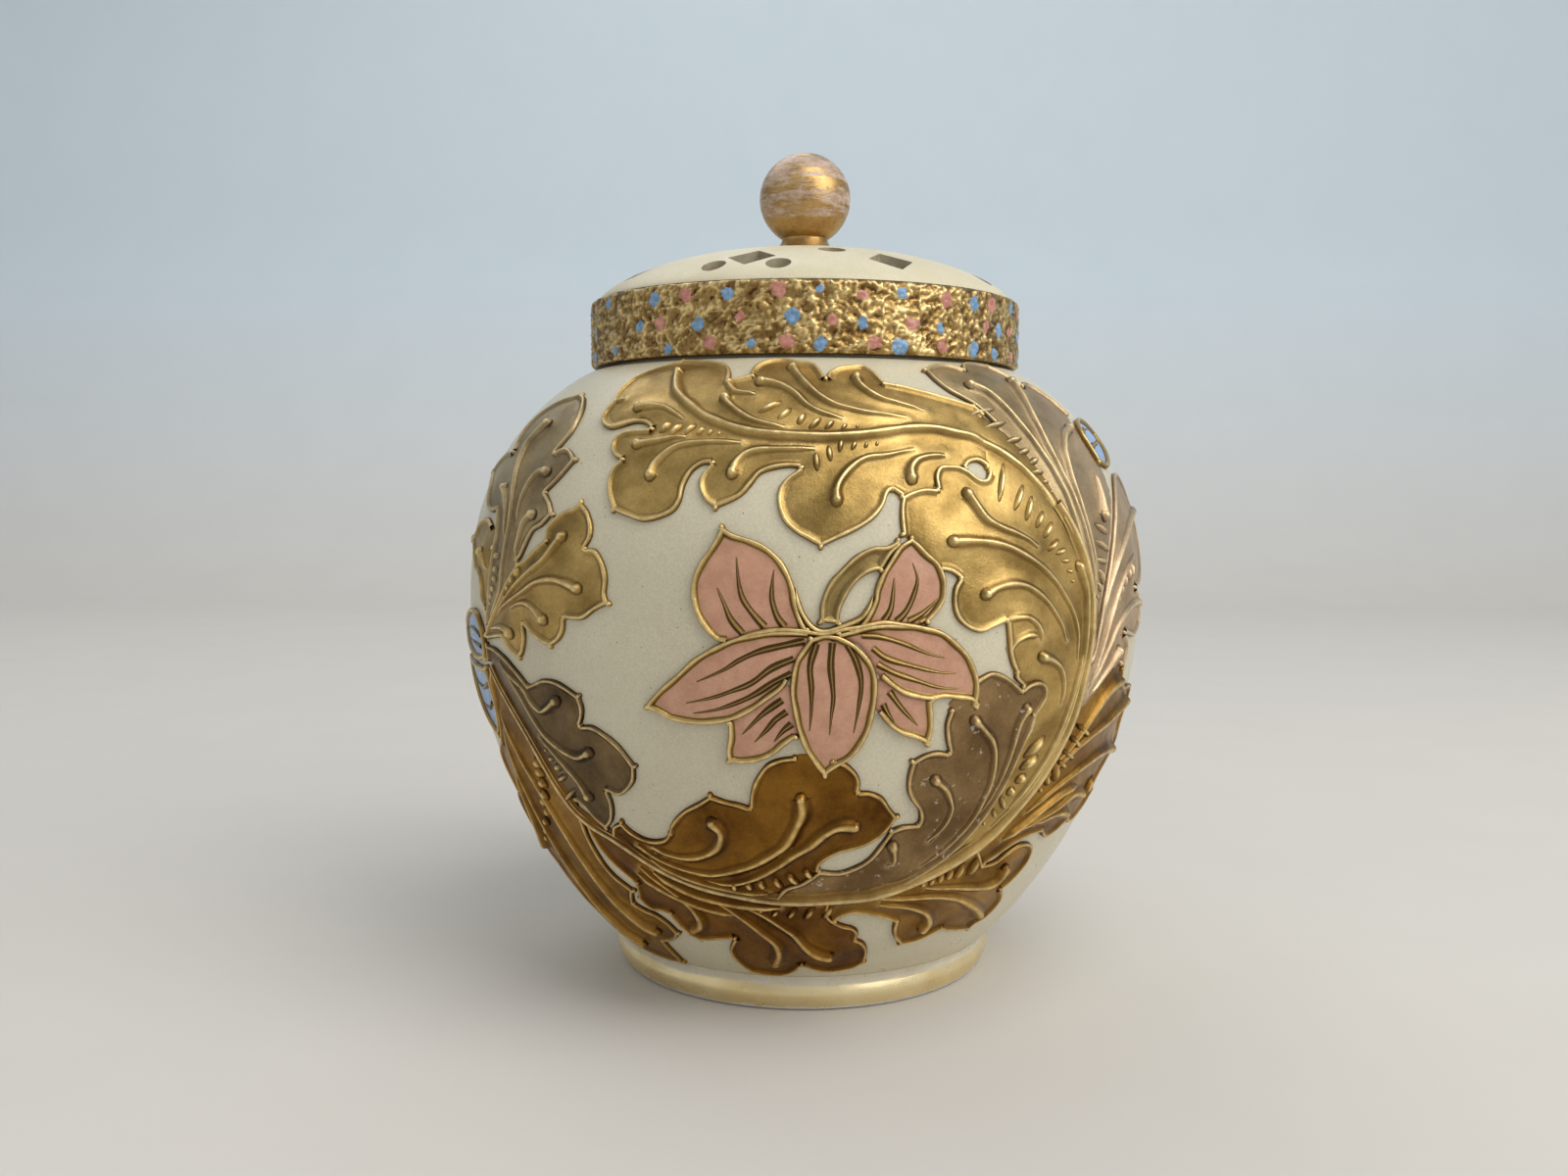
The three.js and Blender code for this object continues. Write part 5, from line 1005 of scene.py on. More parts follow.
# Spots of enamel on the band, as (degrees from the front, height), in three rows
BLUE_SPOTS = [
    (-59.4, 187.0), (-39.2, 186.2), (-18.5, 186.4), (3.5, 187.2), (23.6, 187.0), (46.1, 185.8),
    (-44.5, 179.9), (-26.1, 178.9), (-2.7, 180.5), (13.7, 178.8), (34.7, 178.8), (57.9, 180.0),
    (-55.5, 174.1), (-34.8, 173.2), (-12.5, 173.9), (3.8, 173.6), (23.2, 173.5), (46.3, 173.9),
]
PINK_SPOTS = [
    (-29.6, 186.5), (-6.1, 187.0), (13.8, 186.0), (36.4, 185.9), (53.9, 186.3),
    (-37.3, 179.9), (-15.3, 180.7), (6.5, 179.6), (26.3, 179.3), (51.7, 180.4),
    (-22.9, 174.2), (-4.0, 174.2), (16.8, 174.1), (35.1, 174.2),
]
# Each row's height and where it goes on round the back
SPOT_ROWS = [(186.4, 67.0), (179.7, 66.0), (173.9, 56.5)]
SPOT_PITCH = 10.6
LAST_SPOT = 294


def noise_at(*place):
    return noise.noise(Vector(place))


def all_spots():
    """The spots of the front, and the same rows carried on round the back."""
    spots = [(a, z, 0) for a, z in BLUE_SPOTS] + [(a, z, 1) for a, z in PINK_SPOTS]
    for kind, (z, a) in enumerate(SPOT_ROWS):
        while a < LAST_SPOT:
            aside = 2.5 * noise_at(a * 0.7, z, 3.3)
            spots.append((a + aside, z + 1.2 * noise_at(a, z * 0.3, 9.1), kind % 2))
            kind += 1
            a += SPOT_PITCH
    return spots


def band_chips(spot):
    """How high the band's chipped surface stands at a place."""
    bend = noise.noise_vector(spot * 0.22) * 3.0
    large = noise.voronoi((spot + bend) * 0.21)[0]
    small = noise.voronoi((spot + bend * 1.7) * 0.45)[0]
    bowl = min(1.0, large[0] / max(1e-6, large[1])) ** 2.2
    chip = min(1.0, small[0] / max(1e-6, small[1])) ** 1.6
    return 0.65 * bowl + 0.45 * chip + 0.4 * noise.noise(spot * 1.2) - 0.4


def rough_band(name):
    """The lid's upright band: chipped all over, with drops of enamel set in it."""
    around = 900
    lip = 1.2
    profile = [(BAND_INNER_R, BAND_BOTTOM), (BAND_R - 0.8, BAND_BOTTOM)]
    profile += [(BAND_R - 0.2, BAND_BOTTOM + 0.2)]
    profile += [(BAND_R, z) for z in np.linspace(BAND_BOTTOM + 0.7, BAND_TOP - lip, 42)]
    profile += arc(BAND_R - lip, BAND_TOP - lip, lip, 20, 90, 4) + [(BAND_INNER_R, BAND_TOP)]
    rows = len(profile)
    azimuth = np.linspace(-math.pi, math.pi, around, endpoint=False)
    r, z = [np.repeat(np.array(values)[:, None], around, 1) for values in zip(*profile)]
    chips = np.zeros((rows, around))
    for row in range(2, rows - 1):
        height = profile[row][1] * 1.2
        chips[row] = [band_chips(Vector((BAND_R * math.sin(a), -BAND_R * math.cos(a), height)))
                      for a in azimuth]
    lift = chips
    enamel_masks = np.zeros((2, rows, around))
    for spot_azimuth, spot_z, kind in all_spots():
        across = (azimuth - math.radians(spot_azimuth) + math.pi) % (2 * math.pi) - math.pi
        across = across[None, :] * BAND_R
        up = z - spot_z
        size = 1.38 + 0.6 * noise_at(spot_azimuth, spot_z, 0.5)
        aspect = 0.95 + 0.45 * noise_at(spot_azimuth, 7.7, spot_z)
        turn = 2.5 * noise_at(spot_z, spot_azimuth, 4.2)
        x = across * math.cos(turn) + up * math.sin(turn)
        y = up * math.cos(turn) - across * math.sin(turn)
        far = ((np.abs(x) / size) ** 3 + (np.abs(y) / (size * aspect)) ** 3) ** (1 / 3)
        mask = np.clip((1.2 + 0.5 * chips - far) / 0.3, 0, 1)
        enamel_masks[kind] = np.maximum(enamel_masks[kind], mask)
        lift = lift * (1 - mask) + mask * (0.4 * chips + 0.35)
    is_outer = r > BAND_R - 1.3
    r = r + (lift * is_outer * np.clip((z - BAND_BOTTOM) / 0.8, 0, 1) - 0.45 * is_outer) * 0.95
    places = np.stack([r * np.sin(azimuth), -r * np.cos(azimuth), z], 2).reshape(-1, 3) * MM
    faces = []
    for low in range(rows):
        high = (low + 1) % rows
        for i in range(around):
            j = (i + 1) % around
            faces.append((low * around + i, low * around + j, high * around + j, high * around + i))
    blue, pink = enamel_masks
    # The chips' heights also give the painted highlight on their tops and the painted shade in the pits
    return show(name, smooth_mesh(name, places, faces, blue=blue, pink=pink, polish=chips * 1.5))


def knob_profile():
    angles = np.linspace(math.asin(KNOB_NECK_R / KNOB_R), math.pi, 40)[:-1]
    return ([(0, KNOB_BOTTOM), (KNOB_NECK_R - 0.5, KNOB_BOTTOM)]
            + [(KNOB_R * math.sin(a), KNOB_Z - KNOB_R * math.cos(a)) for a in angles]
            + [(0, KNOB_Z + KNOB_R)])


def knob_stem_profile():
    rise = KNOB_STEM_TOP - KNOB_STEM_BOTTOM
    sunk = KNOB_STEM_BOTTOM - 0.25
    flare = []
    for share in np.linspace(0, 1, 10):
        r = KNOB_NECK_R - 0.1 + (KNOB_FLARE_R - KNOB_NECK_R) * (1 - share) ** 1.3
        flare.append((r, KNOB_STEM_BOTTOM + rise * share))
    return ([(0, sunk), (KNOB_FLARE_R + 0.4, sunk)] + flare
            + [(KNOB_NECK_R, KNOB_BOTTOM + 0.1), (0, KNOB_BOTTOM + 0.1)])


FLANGE_PROFILE = [
    (FLANGE_INNER_R, FLANGE_BOTTOM + 0.6), (FLANGE_INNER_R + 0.6, FLANGE_BOTTOM),
    (FLANGE_OUTER_R - 0.6, FLANGE_BOTTOM), (FLANGE_OUTER_R, FLANGE_BOTTOM + 0.6),
    (FLANGE_OUTER_R, LEDGE_Z), (LEDGE_R, LEDGE_Z), (LEDGE_R, BAND_TOP), (FLANGE_OUTER_R, BAND_TOP),
    (FLANGE_INNER_R, LEDGE_Z),
]


class Look:
    """The shader nodes of a material or the world, with a few short ways to wire them."""

    def __init__(self, owner, shader="Principled BSDF", **sockets):
        owner.use_nodes = True
        self.owner = owner
        self.tree = owner.node_tree
        self.shader = self.tree.nodes[shader]
        for socket, value in sockets.items():
            self.shader.inputs[socket.replace("_", " ")].default_value = value

    def node(self, kind, **settings):
        made = self.tree.nodes.new(kind)
        for key, value in settings.items():
            if key.startswith("in_"):
                made.inputs[key[3:].replace("_", " ")].default_value = value
            else:
                setattr(made, key, value)
        return made

    def wire(self, out, into):
        self.tree.links.new(out, into)

    def feed(self, made, sockets, values):
        """Sets a node's sockets to numbers or colours, or wires other nodes' results to them."""
        for socket, value in zip(sockets, values):
            into = made.inputs[socket]
            if isinstance(value, bpy.types.NodeSocket):
                self.wire(value, into)
            elif into.type == "RGBA":
                into.default_value = (*value, 1) if isinstance(value, tuple) else (value,) * 3 + (1,)
            else:
                into.default_value = value

    def place(self, stretch=(1, 1, 1)):
        """Object coordinates, in millimetres."""
        coordinates = self.node("ShaderNodeTexCoord")
        mapping = self.node("ShaderNodeMapping", in_Scale=[s / MM for s in stretch])
        self.wire(coordinates.outputs["Object"], mapping.inputs["Vector"])
        return mapping.outputs["Vector"]

    def height(self):
        """Height over the floor, in millimetres."""
        split = self.node("ShaderNodeSeparateXYZ")
        self.wire(self.place(), split.inputs["Vector"])
        return split.outputs["Z"]

    def clouds(self, size, detail=3, stretch=(1, 1, 1), roughness=0.55):
        """Noise with features of about that many millimetres, around 0.5."""
        made = self.node("ShaderNodeTexNoise", in_Scale=1 / size, in_Detail=detail,
                         in_Roughness=roughness)
        self.wire(self.place(stretch), made.inputs["Vector"])
        return made.outputs["Fac"]

    def attribute(self, name):
        return self.node("ShaderNodeAttribute", attribute_name=name).outputs["Fac"]

    def remap(self, value, low, high, to_low=0.0, to_high=1.0):
        made = self.node("ShaderNodeMapRange")
        sockets = ("Value", "From Min", "From Max", "To Min", "To Max")
        self.feed(made, sockets, (value, low, high, to_low, to_high))
        return made.outputs["Result"]

    def mix(self, share, first, second, blend="MIX"):
        made = self.node("ShaderNodeMix", data_type="RGBA", blend_type=blend)
        self.feed(made, (0, 6, 7), (share, first, second))
        return made.outputs[2]

    def math(self, operation, first, second):
        made = self.node("ShaderNodeMath", operation=operation)
        self.feed(made, (0, 1), (first, second))
        return made.outputs[0]

    def mottled(self, size, detail, dark, light):
        """Two colours in soft patches."""
        return self.mix(self.remap(self.clouds(size, detail), 0.35, 0.65), dark, light)

    def varied(self, size, detail, low, high):
        """A number that varies softly between two others."""
        return self.remap(self.clouds(size, detail), 0.3, 0.7, low, high)

    def grained(self, base, size, darkest):
        """A colour with a fine darker grain."""
        grain = self.remap(self.clouds(size, 2), 0.35, 0.65, darkest, 1.0)
        return self.mix(0.7, base, grain, "MULTIPLY")

    def bump(self, height, depth, under=None):
        """Bumps of about that many millimetres."""
        made = self.node("ShaderNodeBump", in_Strength=1.0, in_Distance=depth * MM)
        self.wire(height, made.inputs["Height"])
        if under is not None:
            self.wire(under, made.inputs["Normal"])
        return made.outputs["Normal"]

    def set(self, **links):
        for socket, out in links.items():
            self.wire(out, self.shader.inputs[socket.replace("_", " ")])
        return self.owner


def material(name, **sockets):
    return Look(bpy.data.materials.new(name), **sockets)


def ivory_glaze():
    look = material("ivory_glaze", IOR=1.5)
    tone = look.mix(look.varied(38, 4, 0, 1), (0.59, 0.535, 0.385), (0.67, 0.62, 0.46))
    base = look.grained(tone, 0.55, 0.82)
    specks = look.node("ShaderNodeTexVoronoi", in_Scale=1 / 3.0)
    look.wire(look.place(), specks.inputs["Vector"])
    dots = look.remap(specks.outputs["Distance"], 0.045, 0.075, 1, 0)
    some = look.remap(look.clouds(5, 2), 0.45, 0.57)
    base = look.mix(look.math("MULTIPLY", dots, some), base, (0.16, 0.11, 0.07))
    normal = look.bump(look.clouds(0.9, 2), 0.045, look.bump(look.clouds(9, 2), 0.12))
    return look.set(Base_Color=base, Roughness=look.varied(6, 3, 0.26, 0.4), Normal=normal)


def fired_glaze(name, size, dark, light, darkest, rough_size, rough, bumps):
    """A plain glaze in soft patches of two colours."""
    look = material(name, IOR=1.5)
    base = look.grained(look.mottled(size, 3, dark, light), 0.5, darkest)
    roughness = look.varied(rough_size, 2, *rough)
    return look.set(Base_Color=base, Roughness=roughness, Normal=look.bump(look.clouds(bumps, 2), 0.04))


def enamel(name, dark, light):
    return fired_glaze(name, 4, dark, light, 0.88, 3, (0.22, 0.4), 0.8)


def dome_glaze():
    tones = (0.63, 0.565, 0.385), (0.71, 0.645, 0.46)
    return fired_glaze("dome_glaze", 22, *tones, 0.84, 4, (0.4, 0.55), 0.7)


def bare_clay():
    """The cut faces of the holes."""
    look = material("bare_clay", Roughness=0.7)
    base = look.mottled(3, 3, (0.27, 0.225, 0.14), (0.38, 0.33, 0.22))
    return look.set(Base_Color=base, Normal=look.bump(look.clouds(0.7, 2), 0.05))


GILDINGS = {}


def gilding(name, tones, groove_shade_and_grime, crest_highlight, rough=(0.34, 0.5), second=None, rubbed=0.0):
    """Worn gold or lustre of a dark and a light tone, with a painted highlight on what sticks out and
    painted shade, partly grime, beside it.
    """
    look = material(f"{name}_gilding", Metallic=0.92)
    patches = look.remap(look.clouds(14, 4, roughness=0.6), 0.36, 0.64)
    mottled = look.mix(patches, *tones)
    if second:
        mottled = look.mix(look.attribute("fade"), mottled, look.mix(patches, *second))
    fine = look.remap(look.clouds(0.6, 3, roughness=0.7), 0.3, 0.7, 0.66, 1.0)
    mottled = look.mix(0.75, mottled, fine, "MULTIPLY")
    polish = look.attribute("polish")
    # Painted highlight on the crests, showing more in some places than others at random
    worn = look.varied(2.2, 2, 0.4, 0.95)
    base = look.mix(look.math("MULTIPLY", look.remap(polish, 0.2, 0.85), worn), mottled, crest_highlight)
    # Painted shade, partly grime, in the grooves beside the cords
    base = look.mix(look.remap(polish, -0.15, -0.9, 0.0, 0.9), base, groove_shade_and_grime)
    if rubbed:
        flecks = look.remap(look.clouds(2.8, 5, roughness=0.72), 0.62, 0.66, 0, rubbed)
        base = look.mix(flecks, base, (0.60, 0.56, 0.47))
    hammered = look.bump(look.clouds(3.2, 2), 0.09, look.bump(look.clouds(9, 2), 0.2))
    normal = look.bump(look.clouds(0.5, 3, roughness=0.7), 0.08, hammered)
    GILDINGS[name] = look.set(Base_Color=base, Roughness=look.varied(5, 3, *rough), Normal=normal)


def rough_gilding():
    """Gold over the band's chips, with a painted highlight on their tops and painted shade in the pits,
    and blue and pink enamel where the drops are.
    """
    look = material("rough_gilding")
    polish = look.attribute("polish")
    gold = look.mottled(6, 3, (0.22, 0.128, 0.038), (0.41, 0.265, 0.092))
    # Painted highlight on the chips' tops, then painted shade in the pits between them
    gold = look.mix(look.remap(polish, 0.3, 1.0), gold, (0.90, 0.68, 0.31))
    base = look.mix(look.remap(polish, 0.05, -0.45), gold, (0.085, 0.04, 0.012))
    ragged = look.math("MULTIPLY", look.clouds(0.9, 2), 0.5)
    masks = []
    for name, dark, light in (("blue", (0.13, 0.245, 0.41), (0.24, 0.40, 0.58)),
                              ("pink", (0.44, 0.165, 0.12), (0.60, 0.285, 0.215))):
        masks.append(look.remap(look.math("ADD", look.attribute(name), ragged), 0.6, 0.75))
        base = look.mix(masks[-1], base, look.mottled(1.4, 2, dark, light))
    is_enamel = look.math("MAXIMUM", *masks)
    metallic = look.remap(is_enamel, 0, 1, 0.9, 0.0)
    roughness = look.mix(is_enamel, look.varied(3, 2, 0.24, 0.4), 0.2)
    crumbs = look.clouds(1.1, 3, roughness=0.6)
    normal = look.bump(look.math("MULTIPLY", look.remap(is_enamel, 0, 1, 1.0, 0.3), crumbs), 0.13)
    return look.set(Base_Color=base, Metallic=metallic, Roughness=roughness, Normal=normal)


def knob_gilding():
    """Gold rubbed through to the pink ground in level streaks, whole near the neck."""
    look = material("knob_gilding")
    bands = look.clouds(2.6, 3, stretch=(0.16, 0.16, 1.0), roughness=0.6)
    scratches = look.clouds(1.1, 4, stretch=(0.3, 0.3, 1.8), roughness=0.75)
    streaks = look.math("ADD", look.math("MULTIPLY", bands, 0.6), look.math("MULTIPLY", scratches, 0.4))
    kept = look.remap(look.height(), KNOB_BOTTOM + 1.2, KNOB_BOTTOM + 5.8, -0.3, 0.03)
    worn = look.remap(look.math("ADD", streaks, kept), 0.485, 0.56)
    gold = look.mottled(5, 3, (0.38, 0.225, 0.08), (0.56, 0.36, 0.14))
    ground = look.mottled(2, 2, (0.42, 0.285, 0.20), (0.58, 0.44, 0.34))
    soot = look.remap(look.clouds(0.7, 3, stretch=(0.6, 0.6, 1.5), roughness=0.7), 0.58, 0.66, 0, 0.6)
    base = look.mix(soot, look.mix(worn, gold, ground), (0.17, 0.10, 0.05))
    metallic = look.remap(worn, 0, 1, 0.9, 0.1)
    roughness = look.varied(4, 2, 0.26, 0.42)
    normal = look.bump(worn, -0.03, look.bump(look.clouds(0.8, 2), 0.03))
    return look.set(Base_Color=base, Metallic=metallic, Roughness=roughness, Normal=normal)


def foot_glaze():
    """Ivory glaze above, pale satin gold below, rubbed white along the very edge."""
    look = material("foot_glaze")
    height = look.height()
    line = look.math("ADD", height, look.varied(14, 2, -0.35, 0.35))
    edge = look.math("ADD", height, look.varied(1.6, 3, -0.45, 0.45))
    glaze = look.mottled(12, 3, (0.60, 0.545, 0.42), (0.70, 0.65, 0.52))
    gold = look.mottled(22, 3, (0.78, 0.62, 0.32), (0.93, 0.79, 0.49))
    rubbed = look.remap(look.clouds(1.3, 3, stretch=(0.5, 0.5, 1.6)), 0.66, 0.74, 0, 0.35)
    gold = look.mix(rubbed, gold, (0.86, 0.80, 0.66))
    gilt = look.math("MULTIPLY", look.remap(line, 7.6, 7.0), look.remap(edge, 1.2, 1.35))
    base = look.mix(look.remap(edge, 1.35, 1.2), look.mix(gilt, glaze, gold), (0.76, 0.72, 0.63))
    metallic = look.remap(gilt, 0, 1, 0.0, 0.93)
    roughness = look.varied(4, 2, 0.24, 0.36)
    normal = look.bump(look.clouds(2.5, 2), 0.03)
    return look.set(Base_Color=base, Metallic=metallic, Roughness=roughness, Normal=normal)


# Dark and light tones of each gold. BROWN, COPPER and AMBER, on the lower leaves, are partly their own
# lustre and partly a painted reflection of a dark floor beneath them.
BRIGHT = ((0.32, 0.205, 0.06), (0.64, 0.43, 0.147))
BROWN = ((0.115, 0.044, 0.005), (0.285, 0.132, 0.018))
COPPER = ((0.115, 0.043, 0.004), (0.28, 0.124, 0.014))
AMBER = ((0.19, 0.088, 0.014), (0.42, 0.225, 0.045))
OLIVE = ((0.27, 0.185, 0.065), (0.42, 0.30, 0.115))
BRONZE = ((0.19, 0.115, 0.048), (0.35, 0.225, 0.10))
DARK = ((0.10, 0.062, 0.028), (0.22, 0.15, 0.07))
GREY = ((0.31, 0.225, 0.115), (0.54, 0.41, 0.22))
PALE = ((0.48, 0.33, 0.19), (0.72, 0.53, 0.33))
CORD = ((0.33, 0.20, 0.058), (0.54, 0.36, 0.12))
gilding("bright", BRIGHT, (0.11, 0.058, 0.016), (0.96, 0.76, 0.38), rough=(0.27, 0.44))
gilding("stem", BRIGHT, (0.13, 0.07, 0.02), (0.96, 0.78, 0.42), second=BROWN)
gilding("bronze", BRONZE, (0.06, 0.03, 0.012), (0.88, 0.66, 0.30), rubbed=0.8)
gilding("pale", PALE, (0.14, 0.08, 0.04), (0.96, 0.82, 0.54))
gilding("brown", BROWN, (0.04, 0.014, 0.003), (0.88, 0.64, 0.25), rough=(0.24, 0.4))
gilding("copper", COPPER, (0.04, 0.013, 0.002), (0.88, 0.60, 0.22), rough=(0.24, 0.4))
gilding("amber", AMBER, (0.055, 0.022, 0.004), (0.92, 0.68, 0.28), rough=(0.26, 0.42))
gilding("olive", OLIVE, (0.10, 0.055, 0.018), (0.75, 0.56, 0.25))
gilding("dark", DARK, (0.035, 0.018, 0.008), (0.84, 0.62, 0.28), rough=(0.26, 0.42))
gilding("grey", GREY, (0.08, 0.05, 0.025), (0.92, 0.73, 0.38), second=PALE)
gilding("cord", CORD, (0.07, 0.036, 0.012), (0.93, 0.72, 0.35), rough=(0.26, 0.42))
GLAZES = {
    "pink": enamel("pink_glaze", (0.50, 0.255, 0.16), (0.59, 0.32, 0.205)),
    "blue": enamel("blue_glaze", (0.19, 0.33, 0.58), (0.27, 0.42, 0.66)),
}
IVORY = ivory_glaze()
KNOB_LOOK = knob_gilding()


def hang(piece, body, slot, *nodes):
    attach(piece, body)
    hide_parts(*nodes)


def dressed(piece, looks, body, slot, *nodes):
    for look in looks:
        piece.data.materials.append(look)
    hang(piece, body, slot, *nodes)


def relief_kind(name):
    if "blue" in name:
        return "blue"
    if "petal" in name:
        return "pink"
    return next(kind for kind, names in GOLDS.items() if name in names)


# Half width and height of the cords along edges, ribs and ridges, and length, width and height of
# the drop at the start of a vein
STEM_EDGE = (0.42, 0.5)
PETAL_EDGE = (0.6, 0.95)
LEAF_EDGE = (0.58, 0.85)
STEM_RIDGE = (1.2, 1.35)
RIB = (0.4, 0.55)
VEIN_DROP = (1.4, 1.2, 1.5)


def relief_piece(name, strokes):
    """Builds a leaf, petal or stem of the front and its twin of the back."""
    kind = relief_kind(name)
    petal = kind in GLAZES
    brown = kind == "brown"
    level, puff = (0.25, 0.35)
    if petal:
        level, puff = (0.55, 0.15)
    elif "stem" in name:
        level, puff = (0.5, 0.1)
    # How deep the painted shade beside the edge cords is, deepest round the petals, and how wide their
    # flanks are
    groove_shade_and_grime, flank = (-1.0, 0.7) if petal else (-0.5, 1.0)
    leaf = Leaf(name, strokes, level, puff, 0.8 if brown else 0.5, groove_shade_and_grime, flank)
    veins = [leaf.vein(points, number) for number, points in enumerate(drawn(VEINS, name))]
    lines = [smooth(points, LINE_STEP) for points in drawn(LINES, name)]
    leaf.veins += lines
    leaf.face()

    if name == "scroll_stem":
        leaf.edge_cords(*STEM_EDGE, drops=False)
        ridge = np.vstack([smooth(STEM_LINE, STEM_STEP), [STEM_TIP]])
        share = np.linspace(0, 1, len(ridge))
        taper = np.interp(share, [0, 0.15, 0.5, 0.95, 1], [0.6, 0.85, 1, 1, 0.8])
        leaf.cord(ridge, STEM_RIDGE[0] * taper, STEM_RIDGE[1] * taper)
    else:
        leaf.edge_cords(*(PETAL_EDGE if petal else LEAF_EDGE))

    broad, high = (1.5, 1.1) if brown else (1.0, 1.0)
    for line, half, height, lift in veins:
        leaf.cord(line, half * broad, height * high, lift)
        leaf.bead(line[0], directions(line)[0], *VEIN_DROP)
    bold = 0.95 if brown else 0.58
    for line in lines:
        taper = humped(len(line), 0.1, 2.5, 0.3)
        leaf.cord(line, bold * taper, 1.3 * bold * taper)
    for points in drawn(RIBS, name):
        line = smooth(points, LINE_STEP)
        taper = 1 - 0.85 * np.linspace(0, 1, len(line)) ** 1.5
        # Painted shade in the ribs, deeper on the petals on the left, away from the light, than on
        # those on the right
        leaf.cord(line, RIB[0] * taper, RIB[1] * taper, painted_light=-0.45 if "right" in name else -1.1)
    for points in drawn(RIDGES, name):
        line = smooth(points, LINE_STEP)
        taper = humped(len(line), 0.05, 2.5, 0.2)
        leaf.cord(line, 0.65 * taper, 0.35 + 0.75 * taper, free=True)

    for points in drawn(BEADS, name):
        way = directions(points) if len(points) > 1 else np.array([[1.0, 0.0]])
        for spot, (across, up), share in zip(points, way, np.linspace(0, 1, len(points))):
            size = (1.45 if brown else 1.12) - 0.55 * share
            longer, wider = (1.15, 0.8) if name.startswith("left") else (1.85 - 0.8 * share, 0.56)
            lean = np.array([0.5 * across - 0.87 * up, 0.87 * across + 0.5 * up])
            leaf.bead(spot, lean, size * longer, size * wider, size * 1.05)
    strokes_of_slip = ((DASHES, 0.3, 0.7, 1.0), (DROPS, 0.0, 0.7 if brown else 0.95, 1.35))
    for table, extra, width, height in strokes_of_slip:
        for points in drawn(table, name):
            run = steps(points).sum(0)
            length = np.linalg.norm(run)
            leaf.bead(points.mean(0), run / length, length / 2 + extra, width, height)

    materials = [GLAZES[kind], GILDINGS["cord"]] if petal else [GILDINGS[SHADES.get(name, kind)]]
    slot = f"{kind}_glaze" if petal else f"{kind}_gilding"
    for side, turn in (("front", 0.0), ("back", math.pi)):
        hang(leaf.build(f"relief_{side}_{name}", turn, materials), "jar", slot, f"{side}_{name}")


for relief_name, outline in OUTLINES.items():
    relief_piece(relief_name, read(outline))
relief_piece("scroll_stem", stem_outline(smooth(STEM_LINE, STEM_STEP), STEM_HALF_WIDTH))

dressed(lathe("jar", jar_profile(), 256, 30), [IVORY], "jar", "ivory_glaze", "jar_body", "jar_shoulder")
dressed(lathe("foot", foot_profile(), 256, 40), [foot_glaze()], "jar", "pale_gilding", "foot_ring")
dressed(pierced_dome("lid_pierced_dome"), [dome_glaze(), bare_clay()], "lid", "ivory_glaze", "lid_dome")
dressed(rough_band("lid_rough_band"), [rough_gilding()], "lid", "rough_gilding", "lid_band")
dressed(lathe("lid_inner_flange", FLANGE_PROFILE, 160, 30), [IVORY], "lid", "ivory_glaze", "lid_flange")
neck = lathe("knob_neck", knob_stem_profile(), 96, 40)
dressed(neck, [KNOB_LOOK], "lid", "knob_gilding", "knob_stem")
dressed(lathe("knob", knob_profile(), 96, 40), [KNOB_LOOK], "lid", "knob_gilding", "knob_ball")

# Floor and backdrop, in metres: a line of (depth, height), swept from one side to the other
FLOOR_FRONT = -3.0
SWEEP_START = 1.1
SWEEP_R = 0.5
BACKDROP_TOP = 3.5
HALF_WIDTH = 4.0
sweep = [(FLOOR_FRONT, 0.0), (SWEEP_START, 0.0)]
for angle in np.linspace(0.1, math.pi / 2, 14):
    sweep.append((SWEEP_START + SWEEP_R * math.sin(angle), SWEEP_R - SWEEP_R * math.cos(angle)))
sweep.append((SWEEP_START + SWEEP_R, BACKDROP_TOP))
stage_mesh = bmesh.new()
left, right = [[stage_mesh.verts.new((x, y, z)) for y, z in sweep] for x in (-HALF_WIDTH, HALF_WIDTH)]
for n in range(len(sweep) - 1):
    stage_mesh.faces.new([right[n], right[n + 1], left[n + 1], left[n]])
backdrop = finished("floor_and_backdrop", stage_mesh)
paper = material("pale_paper", Roughness=0.85)
floor_tone = paper.mix(paper.clouds(60, 2), (0.62, 0.59, 0.545), (0.65, 0.62, 0.575))
wall_tone = paper.mix(paper.clouds(60, 2), (0.63, 0.73, 0.80), (0.66, 0.755, 0.825))
paper.set(Base_Color=paper.mix(paper.remap(paper.height(), 0, 420), floor_tone, wall_tone))
backdrop.data.materials.append(paper.owner)

# Light
CENTRE = Vector((0, 0, 0.11))


def softbox(name, at, size, power, tint=(1, 1, 1)):
    data = bpy.data.lights.new(name, "AREA")
    data.shape = "RECTANGLE"
    data.size, data.size_y = size
    data.energy = power
    data.color = tint
    lamp = show(name, data)
    lamp.location = at
    lamp.rotation_euler = (CENTRE - Vector(at)).to_track_quat("-Z", "Y").to_euler()


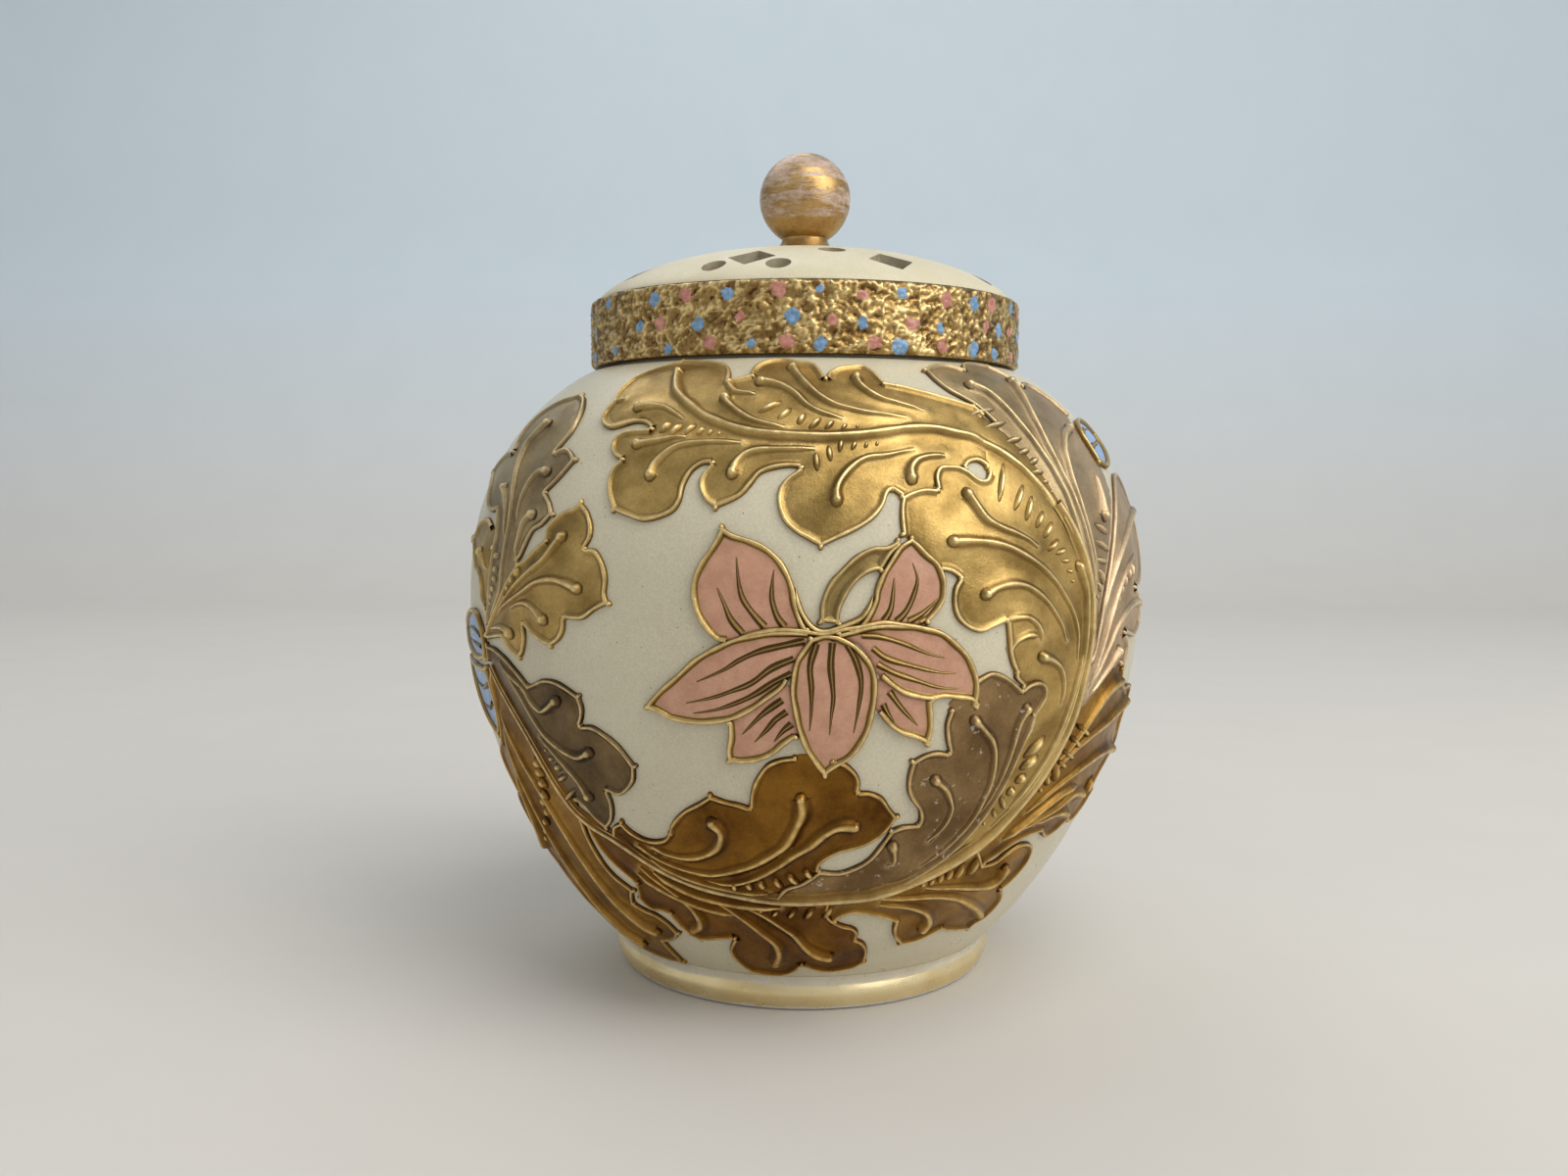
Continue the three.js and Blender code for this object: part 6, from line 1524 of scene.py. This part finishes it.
softbox("key", (1.2, -0.85, 1.05), (1.3, 1.3), 14, (1.0, 0.98, 0.94))
softbox("top", (0.5, -0.6, 1.7), (1.3, 1.0), 10, (1.0, 0.99, 0.97))
softbox("fill", (-1.5, -0.8, 0.7), (1.5, 1.6), 1.9, (0.95, 0.98, 1.0))
softbox("back", (-0.5, 1.0, 1.5), (1.4, 0.7), 5)

# A soft grey room, lighter towards the upper right
LIGHTER_SIDE = (0.75, -0.1, 0.65)
room = Look(bpy.data.worlds.new("soft_grey"), "Background", Color=(0.82, 0.83, 0.84, 1))
towards = room.node("ShaderNodeVectorMath", operation="DOT_PRODUCT")
towards.inputs[1].default_value = LIGHTER_SIDE
room.wire(room.node("ShaderNodeTexCoord").outputs["Generated"], towards.inputs[0])
bpy.context.scene.world = room.set(Strength=room.remap(towards.outputs["Value"], -1, 1, 0.33, 0.73))

# Camera
CAMERA_AT = Vector((0, -0.41643, 0.14044))
CAMERA_PITCH = 0.078
CAMERA_YAW = -0.0136
CAMERA_ROLL = 0.0037
FOCAL_PIXELS = 1441.6
PICTURE_WIDTH = 1600
SENSOR_WIDTH = 36
forward = Vector((math.sin(CAMERA_YAW) * math.cos(CAMERA_PITCH),
                  math.cos(CAMERA_YAW) * math.cos(CAMERA_PITCH), -math.sin(CAMERA_PITCH)))
level = Vector((math.cos(CAMERA_YAW), -math.sin(CAMERA_YAW), 0))
above = level.cross(forward)
camera_right = level * math.cos(CAMERA_ROLL) + above * math.sin(CAMERA_ROLL)
camera_up = above * math.cos(CAMERA_ROLL) - level * math.sin(CAMERA_ROLL)
camera_data = bpy.data.cameras.new("camera")
camera_data.sensor_width = SENSOR_WIDTH
camera_data.lens = SENSOR_WIDTH * FOCAL_PIXELS / PICTURE_WIDTH
camera_data.clip_start = 0.01
camera = show("camera", camera_data)
camera_turn = Matrix((camera_right, camera_up, -forward)).transposed().to_4x4()
camera.matrix_world = Matrix.Translation(CAMERA_AT) @ camera_turn
bpy.context.scene.camera = camera
bpy.context.scene.view_settings.view_transform = "Standard"

bpy.context.view_layer.update()
